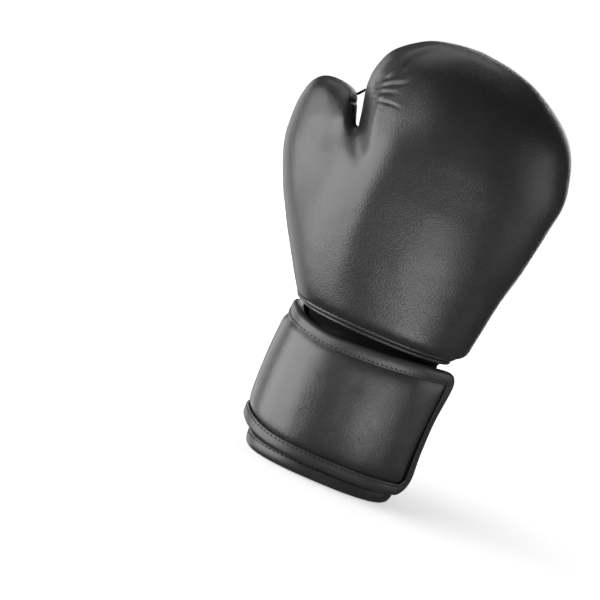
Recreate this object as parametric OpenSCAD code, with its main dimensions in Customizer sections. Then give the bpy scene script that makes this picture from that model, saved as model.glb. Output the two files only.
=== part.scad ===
// Right-hand boxing glove with a hook-and-loop wrist strap, standing on its cuff.
// Z runs from the cuff to the fist, -Y is the back of the hand, +Y the palm, -X the thumb side.

/* [Hand and fist] */
// Height from the bottom edge of the cuff to the top of the fist
glove_h = 285; // [272:1:305]
// Height of the wrist seam, where the padded hand starts
wrist_z = 100; // [98:1:106]
// Height of the crotch between thumb and fist
crotch_z = 203; // [194:1:210]
// Half width of the hand just above the wrist seam
wrist_w = 56; // [54:1:60]
// Depth of the back of the hand just above the wrist seam
wrist_back = 46; // [44:1:50]
// Depth of the heel of the palm
heel_depth = 46; // [44:1:50]
// Depth of the palm under the fingers
palm_depth = 38; // [35:1:42]
// Reach of the fist to the little finger side
fist_little_w = 77; // [72:1:84]
// Reach of the fist to the thumb side
fist_thumb_w = 67; // [65:1:69]
// Depth of the back at the knuckles
knuckle_depth = 61; // [56:1:68]
// Depth of the nose of the finger pad
pad_nose = 74; // [68:1:80]

/* [Thumb] */
// Reach of the thumb from the axis
thumb_reach = 104; // [100:1:110]
// Height of the thumb tip
thumb_tip_z = 235; // [229:1:242]
// Shift of the thumb toward the palm
thumb_lean = 20; // [14:1:24]
// Half thickness of the thumb from back to palm
thumb_half_d = 32; // [29:1:35]

/* [Layers] */
// Thickness of the outer leather
leather_t = 1.6; // [1.2:0.1:2.2]
// Thickness of the fabric lining
lining_t = 1.0; // [0.6:0.1:1.4]
// Gap between one layer and the next
layer_gap = 0.4; // [0.3:0.05:0.6]
// Padding over the knuckles
knuckle_pad_t = 30; // [24:1:34]
// Padding in the nose of the finger pad
nose_pad_t = 28; // [22:1:32]
// Padding over the top of the fist
top_pad_t = 33; // [26:1:38]
// Padding on the little finger side of the fist
side_pad_t = 22; // [18:1:26]
// Padding between palm leather and lining
palm_pad_t = 9; // [7:1:11]
// Padding round the thumb
thumb_pad_t = 12; // [10:1:14]

/* [Wrist slot in the palm] */
// Height of the closed top of the slot
slot_top_z = 140; // [132:1:146]
// Width of the slot between its leather edges
slot_w = 15; // [13:0.5:17]
// Place of the slot across the palm
slot_x = -5; // [-8:0.5:0]
// Set-back of the padding and lining from the slot's leather edges
slot_relief = 3; // [2.5:0.5:4]
// Radius of the rolled piping round the slot
piping_r = 1.9; // [1.5:0.1:2.2]
// Thickness of the reinforcing patch round the slot
patch_t = 1.2; // [0.8:0.1:1.8]
// Width of the reinforcing patch
patch_w = 46; // [36:1:50]
// Height of the top of the reinforcing patch
patch_top_z = 154; // [150:1:160]

/* [Cuff] */
// Half width of the cuff
cuff_w = 48.5; // [46:0.5:51]
// Half depth of the cuff
cuff_d = 36; // [34:0.5:39]
// Thickness of the cuff leather
cuff_leather_t = 1.5; // [1:0.1:2]
// Thickness of the cuff foam
cuff_foam_t = 5; // [4:0.5:6]
// Opening of the cuff split at the bottom edge
split_w = 28; // [22:1:34]
// Height of the binding on the cuff's bottom edge
cuff_bind_h = 9; // [6:0.5:10]
// Height of the piping ring under the wrist seam
wrist_piping_h = 3; // [2:0.5:3]

/* [Strap] */
// Height of the strap's lower edge
strap_z = 10; // [10:0.5:14]
// Height of the strap from edge to edge
strap_h = 85; // [74:1:85]
// Thickness of the padded strap
strap_t = 5; // [4:0.5:6]
// Width of the binding round the strap
strap_bind_w = 9; // [6:0.5:11]
// Thickness of the binding tape
bind_t = 1.2; // [0.8:0.1:1.4]
// Angle on the cuff where the strap is sewn on
strap_root_a = 62; // [58:1:68]
// Angle on the cuff where the free end lies
strap_end_a = 343; // [320:1:346]
// Corner radius of the free end
strap_corner_r = 14; // [10:1:18]
// Thickness of the hook and the loop tape
tape_t = 1.2; // [0.8:0.1:1.4]
// Clearance between parts that move past each other
move_gap = 0.3; // [0.3:0.05:0.5]

/* [Small parts] */
// Radius of the roll under the finger pad
roll_r = 4.5; // [3.5:0.1:4.8]
// Radius of the grip bar inside the palm
grip_r = 7; // [5:0.5:8]
// Length of the grip bar
grip_l = 50; // [40:1:54]
// Outer radius of a vent eyelet
eyelet_r = 2.4; // [2:0.1:3]
// Bore radius of a vent eyelet
eyelet_bore_r = 1.2; // [0.8:0.1:1.6]
// Spacing of the vent eyelets
eyelet_pitch = 13; // [10:1:14]
// Radius of the thumb tie
tie_r = 1.1; // [0.8:0.1:1.5]

/* [Hidden] */
$fn = 40;

// Superellipse power of the cuff and of the hand's cross sections
square = 0.8;
// Top point of the fist and middle of the thumb, seen from above
pole_x = -8;
pole_y = 8;
thumb_x = 18 - thumb_reach;
thumb_y = thumb_lean - 4;
// Where the crotch line sits across the hand
crotch_x = 6 - fist_thumb_w;
// Depth share of the valley between thumb and fist
valley = 0.45;
// Cuff and strap offsets, measured outward from the cuff's leather face
strap_in = 3*move_gap + 2*tape_t;
strap_out = strap_in + strap_t;
strap_top = strap_z + strap_h;
cuff_inner = cuff_leather_t + cuff_foam_t + lining_t + 2*layer_gap;
cuff_top = wrist_z - move_gap;

// Cells of the skin grid along the hand and round it
slot_rows = 4;
upper_rows = 5;
trunk_rows = slot_rows + upper_rows;
fist_rows = 14;
thumb_rows = 6;
round_cells = [14, 4, 4, 1, 3, 3, 4, 5];
web_cells = 5;
fist_cells = 26;
thumb_cells = 12;
ring_cells = fist_cells + thumb_cells;
fist_ring = fist_cells + web_cells;
thumb_ring = thumb_cells + web_cells;
// Grid columns where one leather panel ends and the next begins
little_col = 18;
slot_col = 22;
leaf_col = 29;

// Shares of the way from wrist size to full size, by height between wrist seam and crotch
little_share = [[0, -0.19], [0.05, 0.12], [0.14, 0.21], [0.43, 0.4], [0.64, 0.64], [1, 0.92]];
thumb_share = [[0, -0.01], [0.17, 0.23], [0.33, 0.44], [0.59, 0.75], [0.84, 0.96], [1, 1]];
back_share = [[0, -0.27], [0.05, 0.07], [0.14, 0.23], [0.5, 0.66], [0.8, 0.95], [1, 1]];
// Fist profiles from the crotch ring to the top: share of the reach, share of the height
little_profile = [[0, [0.98, 0]], [0.12, [1, 0.13]], [0.25, [0.99, 0.27]], [0.42, [0.915, 0.53]],
    [0.6, [0.765, 0.72]], [0.78, [0.49, 0.895]], [0.9, [0.26, 0.97]], [1, [0, 1]]];
radial_profile = [[0, [0.9, 0]], [0.15, [0.95, 0.18]], [0.3, [1, 0.38]], [0.45, [0.975, 0.57]],
    [0.6, [0.865, 0.745]], [0.78, [0.575, 0.91]], [0.9, [0.29, 0.975]], [1, [0, 1]]];
back_profile = [[0, [1, 0]], [0.15, [1, 0.21]], [0.3, [0.965, 0.42]], [0.45, [0.87, 0.6]],
    [0.6, [0.725, 0.755]], [0.78, [0.465, 0.905]], [0.9, [0.245, 0.97]], [1, [0, 1]]];
pad_rise = [[0, 0], [0.1, 0.05], [0.2, 0.15], [0.3, 0.31], [0.45, 0.535], [0.6, 0.73], [0.78, 0.9],
    [0.9, 0.97], [1, 1]];
// Thumb profiles: share of the reach, share of the height
thumb_profile = [[0, [1, 0]], [0.3, [0.97, 0.34]], [0.55, [0.84, 0.67]], [0.75, [0.6, 0.88]],
    [0.9, [0.32, 0.97]], [1, [0, 1]]];
thumb_inside = [[0, [1, 0]], [0.3, [0.84, 0.36]], [0.55, [0.74, 0.66]], [0.75, [0.62, 0.87]],
    [0.9, [0.36, 0.97]], [1, [0, 1]]];
// Seam lines round the hand, as angles by height
little_seam = [[0, 71], [0.58, 68], [0.75, 58], [0.9, 36], [1, 30]];
leaf_seam = [[0, 150], [0.3, 114], [0.6, 103], [0.85, 104], [1, 117]];
thumb_seam = [[0, 162], [0.1, 150], [0.4, 139], [0.7, 133], [1, 135]];

function smooth(x) = let (c = min(max(x, 0), 1)) c*c*(3 - 2*c);
function ease(x) = let (c = min(max(1 - x, 0), 1)) 1 - c*c;
function mix(a, b, f) = a + (b - a)*f;
function spow(c, e) = sign(c)*pow(abs(c), e);

// Smooth curve through knots written as [place, value]
function knot_at(k, t, i = 0) = i >= len(k) - 2 || t <= k[i + 1][0] ? i : knot_at(k, t, i + 1);
function knot_slope(k, i) =
    let (a = max(i - 1, 0), b = min(i + 1, len(k) - 1)) (k[b][1] - k[a][1])/(k[b][0] - k[a][0]);
function curve(k, t) =
    let (i = knot_at(k, t), h = k[i + 1][0] - k[i][0], f = (t - k[i][0])/h, g = 1 - f)
    k[i][1]*(1 + 2*f)*g*g + knot_slope(k, i)*h*f*g*g
    + k[i + 1][1]*f*f*(3 - 2*f) - knot_slope(k, i + 1)*h*f*f*g;

// Depth of a layer below the outer face: little finger side, thumb side, back and palm, each at
// wrist and crotch, then nose, top, crotch web, finger crease and thumb
function even_wall(d) = [[d, d], [d, d], [d, d], [d, d], d, d, d, d, d];
pocket_wall = [[wrist_w - 4 - cuff_w + cuff_inner, side_pad_t], [wrist_w - cuff_w + cuff_inner, thumb_pad_t + 2],
    [wrist_back - 4 - cuff_d + cuff_inner, knuckle_pad_t], [heel_depth - 4 - cuff_d + cuff_inner, palm_pad_t],
    nose_pad_t, top_pad_t, thumb_pad_t, 4, thumb_pad_t];
lined_wall = [for (d = pocket_wall) is_list(d) ? d + [lining_t, lining_t] : d + lining_t];
foam_in_wall = [for (d = pocket_wall) is_list(d) ? d - [layer_gap, layer_gap] : d - layer_gap];
function wall(w, k, t) = mix(w[k][0], w[k][1], t);

// Cross section of the hand at share t of the way from wrist seam to crotch
function reach_little(t, w) =
    wrist_w + curve(little_share, t)*(fist_little_w - wrist_w) - wall(w, 0, t);
function reach_thumb(t, w) = wrist_w + curve(thumb_share, t)*(thumb_reach - wrist_w) - wall(w, 1, t);
function reach_back(t, w) =
    wrist_back + curve(back_share, t)*(knuckle_depth - wrist_back) - wall(w, 2, t);
function reach_palm(t, w) =
    curve([[0, heel_depth - 4], [0.08, heel_depth], [0.2, heel_depth + 1],
        [0.5, mix(heel_depth, palm_depth, 0.3)], [0.8, mix(heel_depth, palm_depth, 0.85)],
        [1, palm_depth]], t) - wall(w, 3, t);
function half_width(t, w) = (reach_little(t, w) + reach_thumb(t, w))/2;
function mid_x(t, w) = (reach_little(t, w) - reach_thumb(t, w))/2;
function angle_at(x, t) =
    acos(spow(min(max((x - mid_x(t, even_wall(0)))/half_width(t, even_wall(0)), -1), 1), 1/square));
function top_z(v, w) =
    crotch_z + pow(max(sin(v), 0), 2)*smooth((crotch_a - v)/26)*w[7] - pow(max(-cos(v), 0), 2)*w[6];
function trunk_point(t, v, w) =
    let (x = mid_x(t, w) + half_width(t, w)*spow(cos(v), square))
    let (dip = smooth((t - 0.68)/0.32)*exp(-pow((x - crotch_x)/15, 2)))
    let (slim = 1 - 0.14*t*smooth((-58 - x)/30))
    let (y = sin(v) > 0 ? reach_palm(t, w)*spow(sin(v), square)*(1 - 0.2*dip)
        : reach_back(t, w)*spow(sin(v), square)*(1 - valley*dip))
    [x, y*slim + thumb_lean*t*smooth((-35 - x)/50), wrist_z + t*(top_z(v, w) - wrist_z)];

// Angles of the grid lines round the hand, from the back of the crotch over the little finger
// side and the palm to the thumb and back
crotch_a = angle_at(crotch_x, 1);
slot_t = (slot_top_z - wrist_z)/(crotch_z - wrist_z);
function slot_half(t, grow) = slot_w/2 + grow*(1 - smooth((t - slot_t)/0.3));
function line_angles(t, grow) = [-crotch_a, 0, curve(little_seam, t), angle_at(slot_x + slot_half(t, grow), t),
    angle_at(slot_x - slot_half(t, grow), t), t < 1 ? curve(leaf_seam, t) : crotch_a, curve(thumb_seam, t), 180,
    360 - crotch_a];
function ring_angles(t, grow = 0) =
    let (a = line_angles(t, grow))
    [for (k = [0:7]) for (c = [0:round_cells[k] - 1]) mix(a[k], a[k + 1], c/round_cells[k])];
function row_t(i) =
    i <= slot_rows ? slot_t*[0, 0.13, 0.38, 0.68, 1][i] : mix(slot_t, 1, (i - slot_rows)/upper_rows);

// Crotch line from palm to back
function web_point(q, w) =
    let (p = trunk_point(1, crotch_a, w), b = trunk_point(1, -crotch_a, w), m = mix(p, b, q))
    [m[0], m[1], mix(m[2], crotch_z - w[6], sin(180*q))];

// Fist from the crotch ring to the top
function fist_side(profile, reach, foot, s, w) =
    let (c = curve(profile, s))
    [c[0]*reach, mix(foot, glove_h - w[5], c[1])];
function fist_palm(s, w) =
    let (crease = palm_depth - w[3][1], nose = pad_nose - w[4])
    [curve([[0, crease], [0.1, mix(crease, nose, 0.58)], [0.2, mix(crease, nose, 0.9)], [0.3, nose],
        [0.45, mix(pole_y, nose, 0.94)], [0.6, mix(pole_y, nose, 0.78)], [0.78, mix(pole_y, nose, 0.45)],
        [0.9, mix(pole_y, nose, 0.2)], [1, pole_y]], s) - pole_y,
        mix(crotch_z + w[7], glove_h - w[5], curve(pad_rise, s))];
function fist_point(s, v, w) =
    let (e = mix(square, 0.96, s), c = cos(v), d = sin(v))
    let (a = c > 0 ? fist_side(little_profile, fist_little_w - pole_x - w[0][1], crotch_z, s, w)
        : fist_side(radial_profile, fist_thumb_w + pole_x - w[1][1], crotch_z - w[6], s, w))
    let (b = d > 0 ? fist_palm(s, w)
        : fist_side(back_profile, knuckle_depth + pole_y - w[2][1], crotch_z, s, w))
    [pole_x + a[0]*spow(c, e), pole_y + b[0]*spow(d, e), a[1]*c*c + b[1]*d*d];
function fist_angle(j, s) =
    let (edge = mix(crotch_a, 146, smooth(s/0.5)))
    j <= fist_cells ? concat(ring_angles(1), 360 - crotch_a)[j]*edge/crotch_a
    : mix(edge, 360 - edge, (j - fist_cells)/web_cells);
function fist_foot(j, w) =
    j <= fist_cells ? trunk_point(1, ring_angles(1)[j], w) : web_point((j - fist_cells)/web_cells, w);
function fist_row(k, w) =
    let (s = k/fist_rows)
    [for (j = [0:fist_ring - 1])
        mix(fist_foot(j, w), fist_point(s, fist_angle(j, s), w), ease(s/0.3))];

// Thumb from the crotch ring to its tip
function thumb_side(profile, reach, foot, s, w) =
    let (c = curve(profile, s))
    [c[0]*reach, mix(foot, thumb_tip_z - w[8], c[1])];
function thumb_point(s, v, w, foot) =
    let (e = mix(square, 0.96, s), c = cos(v), d = sin(v))
    let (a = c > 0 ? thumb_side(thumb_inside, crotch_x - thumb_x - w[8], foot, s, w)
        : thumb_side(thumb_profile, thumb_reach + thumb_x - w[8], foot, s, w))
    let (b = thumb_side(thumb_profile, thumb_half_d - w[8], foot, s, w))
    [thumb_x + a[0]*spow(c, e), thumb_y + b[0]*spow(d, e), a[1]*c*c + b[1]*d*d];
function thumb_angle(j) =
    j <= thumb_cells ? 180 + (concat(ring_angles(1), 360 - crotch_a)[j + fist_cells] - 180)*120/(180 - crotch_a)
    : mix(300, 420, (j - thumb_cells)/web_cells);
function thumb_foot(j, w) =
    j < thumb_cells ? trunk_point(1, ring_angles(1)[j + fist_cells], w)
    : web_point(1 - (j - thumb_cells)/web_cells, w);
function thumb_row(k, w) =
    let (s = k/thumb_rows)
    [for (j = [0:thumb_ring - 1]) let (foot = thumb_foot(j, w))
        mix(foot, thumb_point(s, thumb_angle(j), w, foot[2]), ease(s/0.5))];

// All points of one layer face: trunk rows, web line, fist rows and top, thumb rows and tip
function skin_points(w, grow) = concat(
    [for (i = [0:trunk_rows]) for (v = ring_angles(row_t(i), grow)) trunk_point(row_t(i), v, w)],
    [for (q = [1:web_cells - 1]) web_point(q/web_cells, w)],
    [for (k = [1:fist_rows - 1]) for (p = fist_row(k, w)) p],
    [[pole_x, pole_y, glove_h - w[5]]],
    [for (k = [1:thumb_rows - 1]) for (p = thumb_row(k, w)) p],
    [[thumb_x, thumb_y, thumb_tip_z - w[8]]]);
web_base = (trunk_rows + 1)*ring_cells - 1;
fist_base = web_base + web_cells;
fist_top = fist_base + (fist_rows - 1)*fist_ring;
thumb_base = fist_top + 1;
thumb_top = thumb_base + (thumb_rows - 1)*thumb_ring;
skin_count = thumb_top + 1;
function trunk_id(i, j) = i*ring_cells + j%ring_cells;
function fist_id(k, j) =
    let (c = j%fist_ring)
    k == fist_rows ? fist_top : k > 0 ? fist_base + (k - 1)*fist_ring + c
    : c <= fist_cells ? trunk_id(trunk_rows, c) : web_base + c - fist_cells;
function thumb_id(k, j) =
    let (c = j%thumb_ring)
    k == thumb_rows ? thumb_top : k > 0 ? thumb_base + (k - 1)*thumb_ring + c
    : c <= thumb_cells ? trunk_id(trunk_rows, c + fist_cells) : web_base + web_cells - (c - thumb_cells);
function trunk_cells(rows, cols) =
    [for (i = rows) for (j = cols)
        [trunk_id(i, j), trunk_id(i, j + 1), trunk_id(i + 1, j + 1), trunk_id(i + 1, j)]];
function fist_patch(rows, cols) =
    [for (k = rows) for (j = cols) k < fist_rows - 1
        ? [fist_id(k, j), fist_id(k, j + 1), fist_id(k + 1, j + 1), fist_id(k + 1, j)]
        : [fist_id(k, j), fist_id(k, j + 1), fist_top]];
function thumb_patch(rows, cols) =
    [for (k = rows) for (j = cols) k < thumb_rows - 1
        ? [thumb_id(k, j), thumb_id(k, j + 1), thumb_id(k + 1, j + 1), thumb_id(k + 1, j)]
        : [thumb_id(k, j), thumb_id(k, j + 1), thumb_top]];

// Sheet between an outer and an inner layer face over the chosen cells, closed along its rim; the
// palm slot in it is wider by grow on each side
module sheet(outer, inner, cells, grow = 0) {
    points = concat(skin_points(outer, grow), skin_points(inner, grow));
    n = skin_count;
    edges = [for (c = cells) for (k = [0:len(c) - 1]) [c[k], c[(k + 1)%len(c)]]];
    twins = search([for (e = edges) e[1]*n + e[0]], [for (e = edges) e[0]*n + e[1]], 1);
    skins = [for (c = cells) for (k = [1:len(c) - 2])
        for (f = [[c[0], c[k + 1], c[k]], [c[0] + n, c[k] + n, c[k + 1] + n]]) f];
    rims = [for (k = [0:len(edges) - 1]) let (a = edges[k][0], b = edges[k][1]) if (is_list(twins[k]))
        for (f = a < b ? [[a, b, b + n], [a, b + n, a + n]] : [[a, b, a + n], [b, b + n, a + n]]) f];
    polyhedron(points, concat(skins, rims), convexity = 6);
}

// Round tube along a line of points, its section turned from the palm's normal
module tube(path, r, sides = 8) {
    n = len(path);
    along = [for (i = [0:n - 1]) let (d = path[min(i + 1, n - 1)] - path[max(i - 1, 0)]) d/norm(d)];
    points = [for (i = [0:n - 1])
        let (a = cross(along[i], [0, 1, 0]), u = a/norm(a), v = cross(u, along[i]))
        for (k = [0:sides - 1]) path[i] + r*(u*cos(360*k/sides) + v*sin(360*k/sides))];
    walls = [for (i = [0:n - 2]) for (k = [0:sides - 1])
        let (a = i*sides + k, b = i*sides + (k + 1)%sides)
        for (f = [[a, b, b + sides], [a, b + sides, a + sides]]) f];
    first = [for (k = [1:sides - 2]) [0, k + 1, k]];
    last = [for (k = [1:sides - 2]) let (a = (n - 1)*sides) [a, a + k, a + k + 1]];
    polyhedron(points, concat(walls, first, last), convexity = 4);
}

// Cuff outline grown by an offset, and a band of it between two angles
function oval(off, v) = [(cuff_w + off)*spow(cos(v), square), (cuff_d + off)*spow(sin(v), square)];
function arc_angles(a0, a1, n) = [for (k = [0:n]) mix(a0, a1, k/n)];
module band(off0, off1, a0, a1, z0, z1) {
    steps = max(4, round(abs(a1 - a0)/7));
    points = concat([for (v = arc_angles(a0, a1, steps)) oval(off1, v)],
        [for (v = arc_angles(a1, a0, steps)) oval(off0, v)]);
    translate([0, 0, z0]) linear_extrude(z1 - z0) polygon(points);
}
module ring(off0, off1, z0, z1) {
    translate([0, 0, z0]) linear_extrude(z1 - z0) difference() {
        polygon([for (k = [0:51]) oval(off1, 360*k/52)]);
        polygon([for (k = [0:51]) oval(off0, 360*k/52)]);
    }
}

// Edges of the cuff split, flaring into rounded corners at the bottom
function split_half(z) =
    let (f = 1 - min(max(z/wrist_z, 0), 1)) slot_w/2 + (split_w - slot_w)/2*pow(f, 1.4) + 5*exp(-z/5);
function split_mid(z) = slot_x*min(max(z/wrist_z, 0), 1);
module split_cut(grow = 0) {
    heights = [-1, 0, 1, 2, 4, 6, 9, 13, 20, 35, 55, 80, wrist_z + 2];
    rotate([90, 0, 0]) translate([0, 0, -90]) linear_extrude(80) polygon(concat(
        [for (z = heights) [split_mid(z) + split_half(z) + grow, z]],
        [for (i = [len(heights) - 1:-1:0]) let (z = heights[i]) [split_mid(z) - split_half(z) - grow, z]]));
}

// Depth of the palm's leather face at a place across and a height
function palm_y(x, z) =
    let (t = (z - wrist_z)/(crotch_z - wrist_z)) trunk_point(t, angle_at(x, t), even_wall(0))[1];

module back_shell() {
    color([0.03, 0.03, 0.035]) sheet(even_wall(0), even_wall(leather_t), concat(
        trunk_cells([0:trunk_rows - 1], [0:little_col - 1]),
        trunk_cells([0:trunk_rows - 1], [leaf_col:ring_cells - 1]),
        fist_patch([0:1], [0:little_col - 4]),
        fist_patch([0:1], [little_col + 2:fist_cells - 3]),
        fist_patch([0:1], [fist_cells + 2:fist_ring - 1]),
        fist_patch([2:fist_rows - 1], [0:fist_ring - 1]),
        thumb_patch([0:thumb_rows - 1], [leaf_col - fist_cells:thumb_cells - 1])));
}

module thumb_side_gusset() {
    color([0.11, 0.11, 0.115]) sheet(even_wall(0), even_wall(leather_t),
        fist_patch([0:1], [fist_cells - 2:fist_cells + 1]));
}

module little_side_gusset() {
    color([0.12, 0.12, 0.125]) sheet(even_wall(0), even_wall(leather_t),
        fist_patch([0:1], [little_col - 3:little_col + 1]));
}

module palm_panel() {
    color([0.08, 0.08, 0.085]) sheet(even_wall(0), even_wall(leather_t), concat(
        trunk_cells([0:trunk_rows - 1], [little_col:slot_col - 1]),
        trunk_cells([slot_rows:trunk_rows - 1], [slot_col]),
        trunk_cells([0:trunk_rows - 1], [slot_col + 1:fist_cells - 1])));
}

module thumb_inner_panel() {
    color([0.1, 0.1, 0.105]) sheet(even_wall(0), even_wall(leather_t), concat(
        trunk_cells([0:trunk_rows - 1], [fist_cells:leaf_col - 1]),
        thumb_patch([0:thumb_rows - 1], [0:leaf_col - fist_cells - 1]),
        thumb_patch([0:thumb_rows - 1], [thumb_cells:thumb_ring - 1])));
}

// Strip round the slot, from one side of the wrist seam over a round top to the other
module slot_patch() {
    inner_w = slot_w/2 + 0.5;
    spring = slot_top_z - inner_w;
    function arch(f, w, top) =
        abs(f) > 0.5 ? [slot_x + sign(f)*w, mix(spring, wrist_z + 1, (abs(f) - 0.5)*2)]
        : [slot_x + w*sin(180*f), spring + (top - spring)*cos(180*f)];
    line = [for (k = [-9:9]) k/9];
    rows = [for (f = line) for (q = [0:2])
        mix(arch(f, inner_w, slot_top_z + 0.5), arch(f, patch_w/2, patch_top_z), q/2)];
    outer = [for (p = rows) [p[0], palm_y(p[0], p[1]) + layer_gap + patch_t, p[1]]];
    inner = [for (p = outer) p - [0, patch_t, 0]];
    n = len(rows);
    cells = [for (k = [0:len(line) - 2]) for (q = [0:1])
        [3*k + q, 3*k + q + 1, 3*k + q + 4, 3*k + q + 3]];
    edges = concat([for (k = [0:len(line) - 2]) [3*k + 3, 3*k]],
        [for (k = [0:len(line) - 2]) [3*k + 2, 3*k + 5]], [[0, 1], [1, 2]],
        [[n - 1, n - 2], [n - 2, n - 3]]);
    color([0.14, 0.14, 0.145]) polyhedron(concat(outer, inner), concat(
        [for (c = cells) for (f = [[c[0], c[1], c[2]], [c[0], c[2], c[3]],
            [c[2] + n, c[1] + n, c[0] + n], [c[3] + n, c[2] + n, c[0] + n]]) f],
        [for (e = edges) for (f = [[e[1], e[0], e[0] + n], [e[1], e[0] + n, e[1] + n]]) f]), convexity = 6);
}

module slot_piping() {
    inset = piping_r + 2*move_gap;
    low = [cuff_bind_h + 3, 30, 55, 80, wrist_z];
    cuff_y = cuff_d - 2 - piping_r;
    seam_y = min(heel_depth - 4 - leather_t - layer_gap, cuff_d + strap_in - bind_t - 2*move_gap) - piping_r;
    function depth(z) = z < wrist_z ? cuff_y : seam_y;
    rise = [0.3, 0.6, 0.85];
    little = concat(
        [for (z = low) [split_mid(z) + split_half(z) - inset, depth(z), z]],
        [for (f = rise) let (t = f*slot_t, p = trunk_point(t, angle_at(slot_x, t), even_wall(leather_t)))
            [slot_x + slot_w/2 - inset, p[1] - 0.5, p[2]]]);
    thumbward = concat(
        [for (k = [2:-1:0]) let (t = rise[k]*slot_t, p = trunk_point(t, angle_at(slot_x, t), even_wall(leather_t)))
            [slot_x - slot_w/2 + inset, p[1] - 0.5, p[2]]],
        [for (k = [4:-1:0]) let (z = low[k]) [split_mid(z) - split_half(z) + inset, depth(z), z]]);
    crown = trunk_point(slot_t, angle_at(slot_x, slot_t), even_wall(leather_t));
    bow = [for (a = [20, 55, 90, 125, 160]) let (r = slot_w/2 - inset)
        [slot_x + r*cos(a), crown[1] - 0.5, slot_top_z - inset - r + r*sin(a)]];
    color([0.05, 0.05, 0.05]) tube(concat(little, bow, thumbward), piping_r);
}

module finger_roll() {
    t = 1 - (roll_r + 0.9)/(crotch_z - wrist_z);
    path = [for (k = [0:11]) trunk_point(t, mix(34, 96, k/11), even_wall(-2*layer_gap - roll_r))];
    color([0.07, 0.07, 0.075]) tube(path, roll_r, 10);
}

module back_foam() {
    color([0.75, 0.72, 0.6]) sheet(even_wall(leather_t + layer_gap), foam_in_wall,
        trunk_cells([0:trunk_rows - 1], [0:little_col - 1]));
}

module knuckle_foam() {
    color([0.78, 0.75, 0.63]) sheet(even_wall(leather_t + layer_gap), foam_in_wall,
        fist_patch([0:fist_rows - 1], [0:fist_ring - 1]));
}

module thumb_foam() {
    color([0.72, 0.69, 0.57]) sheet(even_wall(leather_t + layer_gap), foam_in_wall, concat(
        trunk_cells([0:trunk_rows - 1], [fist_cells:ring_cells - 1]),
        thumb_patch([0:thumb_rows - 1], [0:thumb_ring - 1])));
}

module palm_foam() {
    color([0.8, 0.77, 0.66]) sheet(even_wall(leather_t + layer_gap), foam_in_wall, concat(
        trunk_cells([0:trunk_rows - 1], [little_col:slot_col - 1]),
        trunk_cells([slot_rows:trunk_rows - 1], [slot_col]),
        trunk_cells([0:trunk_rows - 1], [slot_col + 1:fist_cells - 1])), slot_relief);
}

module hand_lining() {
    color([0.16, 0.16, 0.17]) sheet(pocket_wall, lined_wall, concat(
        trunk_cells([0:trunk_rows - 1], [0:slot_col - 1]),
        trunk_cells([slot_rows:trunk_rows - 1], [slot_col]),
        trunk_cells([0:trunk_rows - 1], [slot_col + 1:ring_cells - 1]),
        fist_patch([0:fist_rows - 1], [0:fist_ring - 1])), slot_relief);
}

module thumb_lining() {
    color([0.18, 0.18, 0.19]) sheet(pocket_wall, lined_wall,
        thumb_patch([1:thumb_rows - 1], [0:thumb_ring - 1]));
}

module grip_bar() {
    t = 0.86;
    mid = trunk_point(t, 90, lined_wall);
    edge = min([for (x = [-grip_l/2, grip_l/2])
        let (f = abs(x + slot_x - mid_x(t, lined_wall))/half_width(t, lined_wall))
        mid[1]*pow(1 - pow(f, 2/square), square/2)]);
    color([0.3, 0.3, 0.3]) translate([slot_x, edge - grip_r - layer_gap, mid[2]])
        rotate([0, 90, 0]) cylinder(h = grip_l, r = grip_r, center = true);
}

module thumb_tie() {
    a = thumb_row(4, even_wall(0))[thumb_cells + 3];
    b = mix(fist_row(4, even_wall(0))[fist_cells + 2], fist_row(5, even_wall(0))[fist_cells + 2], 0.4);
    d = (b - a)/norm(b - a);
    color([0.02, 0.02, 0.02]) translate(a + d*0.8*tie_r)
        rotate([0, acos(d[2]), atan2(d[1], d[0])]) cylinder(h = norm(b - a) - 2.8*tie_r, r = tie_r);
}

module vent_eyelets() {
    color([0.2, 0.2, 0.2]) for (at = [[0.5, 0.5], [-0.5, 0.5], [0.5, -0.5], [-0.5, -0.5]]) {
        x = slot_x + at[0]*eyelet_pitch;
        z = crotch_z - 27 + at[1]*eyelet_pitch;
        translate([x, palm_y(x, z) + 2*move_gap, z]) rotate([-90, 0, 0]) difference() {
            cylinder(h = 1, r = eyelet_r);
            translate([0, 0, -1]) cylinder(h = 3, r = eyelet_bore_r);
        }
    }
}

module wrist_piping() {
    color([0.04, 0.04, 0.04]) difference() {
        ring(move_gap, wrist_piping_h + move_gap, cuff_top - wrist_piping_h, cuff_top);
        split_cut();
    }
}

module cuff_layer(off0, off1, z0, tone) {
    color(tone) difference() {
        ring(off0, off1, z0, cuff_top);
        split_cut();
    }
}

module cuff_shell() {
    cuff_layer(-cuff_leather_t, 0, bind_t + move_gap, [0.06, 0.06, 0.065]);
}

module cuff_foam() {
    cuff_layer(-cuff_leather_t - layer_gap - cuff_foam_t, -cuff_leather_t - layer_gap, bind_t + move_gap,
        [0.76, 0.73, 0.61]);
}

module cuff_lining() {
    cuff_layer(-cuff_inner, -cuff_inner + lining_t, bind_t + move_gap, [0.17, 0.17, 0.18]);
}

module cuff_binding() {
    color([0.05, 0.05, 0.055]) difference() {
        ring(-cuff_inner - bind_t - move_gap, bind_t + move_gap, 0, cuff_bind_h);
        ring(-cuff_inner - move_gap, move_gap, bind_t, cuff_bind_h + 1);
        split_cut();
    }
}

module loop_patch() {
    color([0.09, 0.09, 0.09])
        band(move_gap, move_gap + tape_t, 235, 342, strap_z + strap_bind_w, strap_top - strap_bind_w);
}

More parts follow.
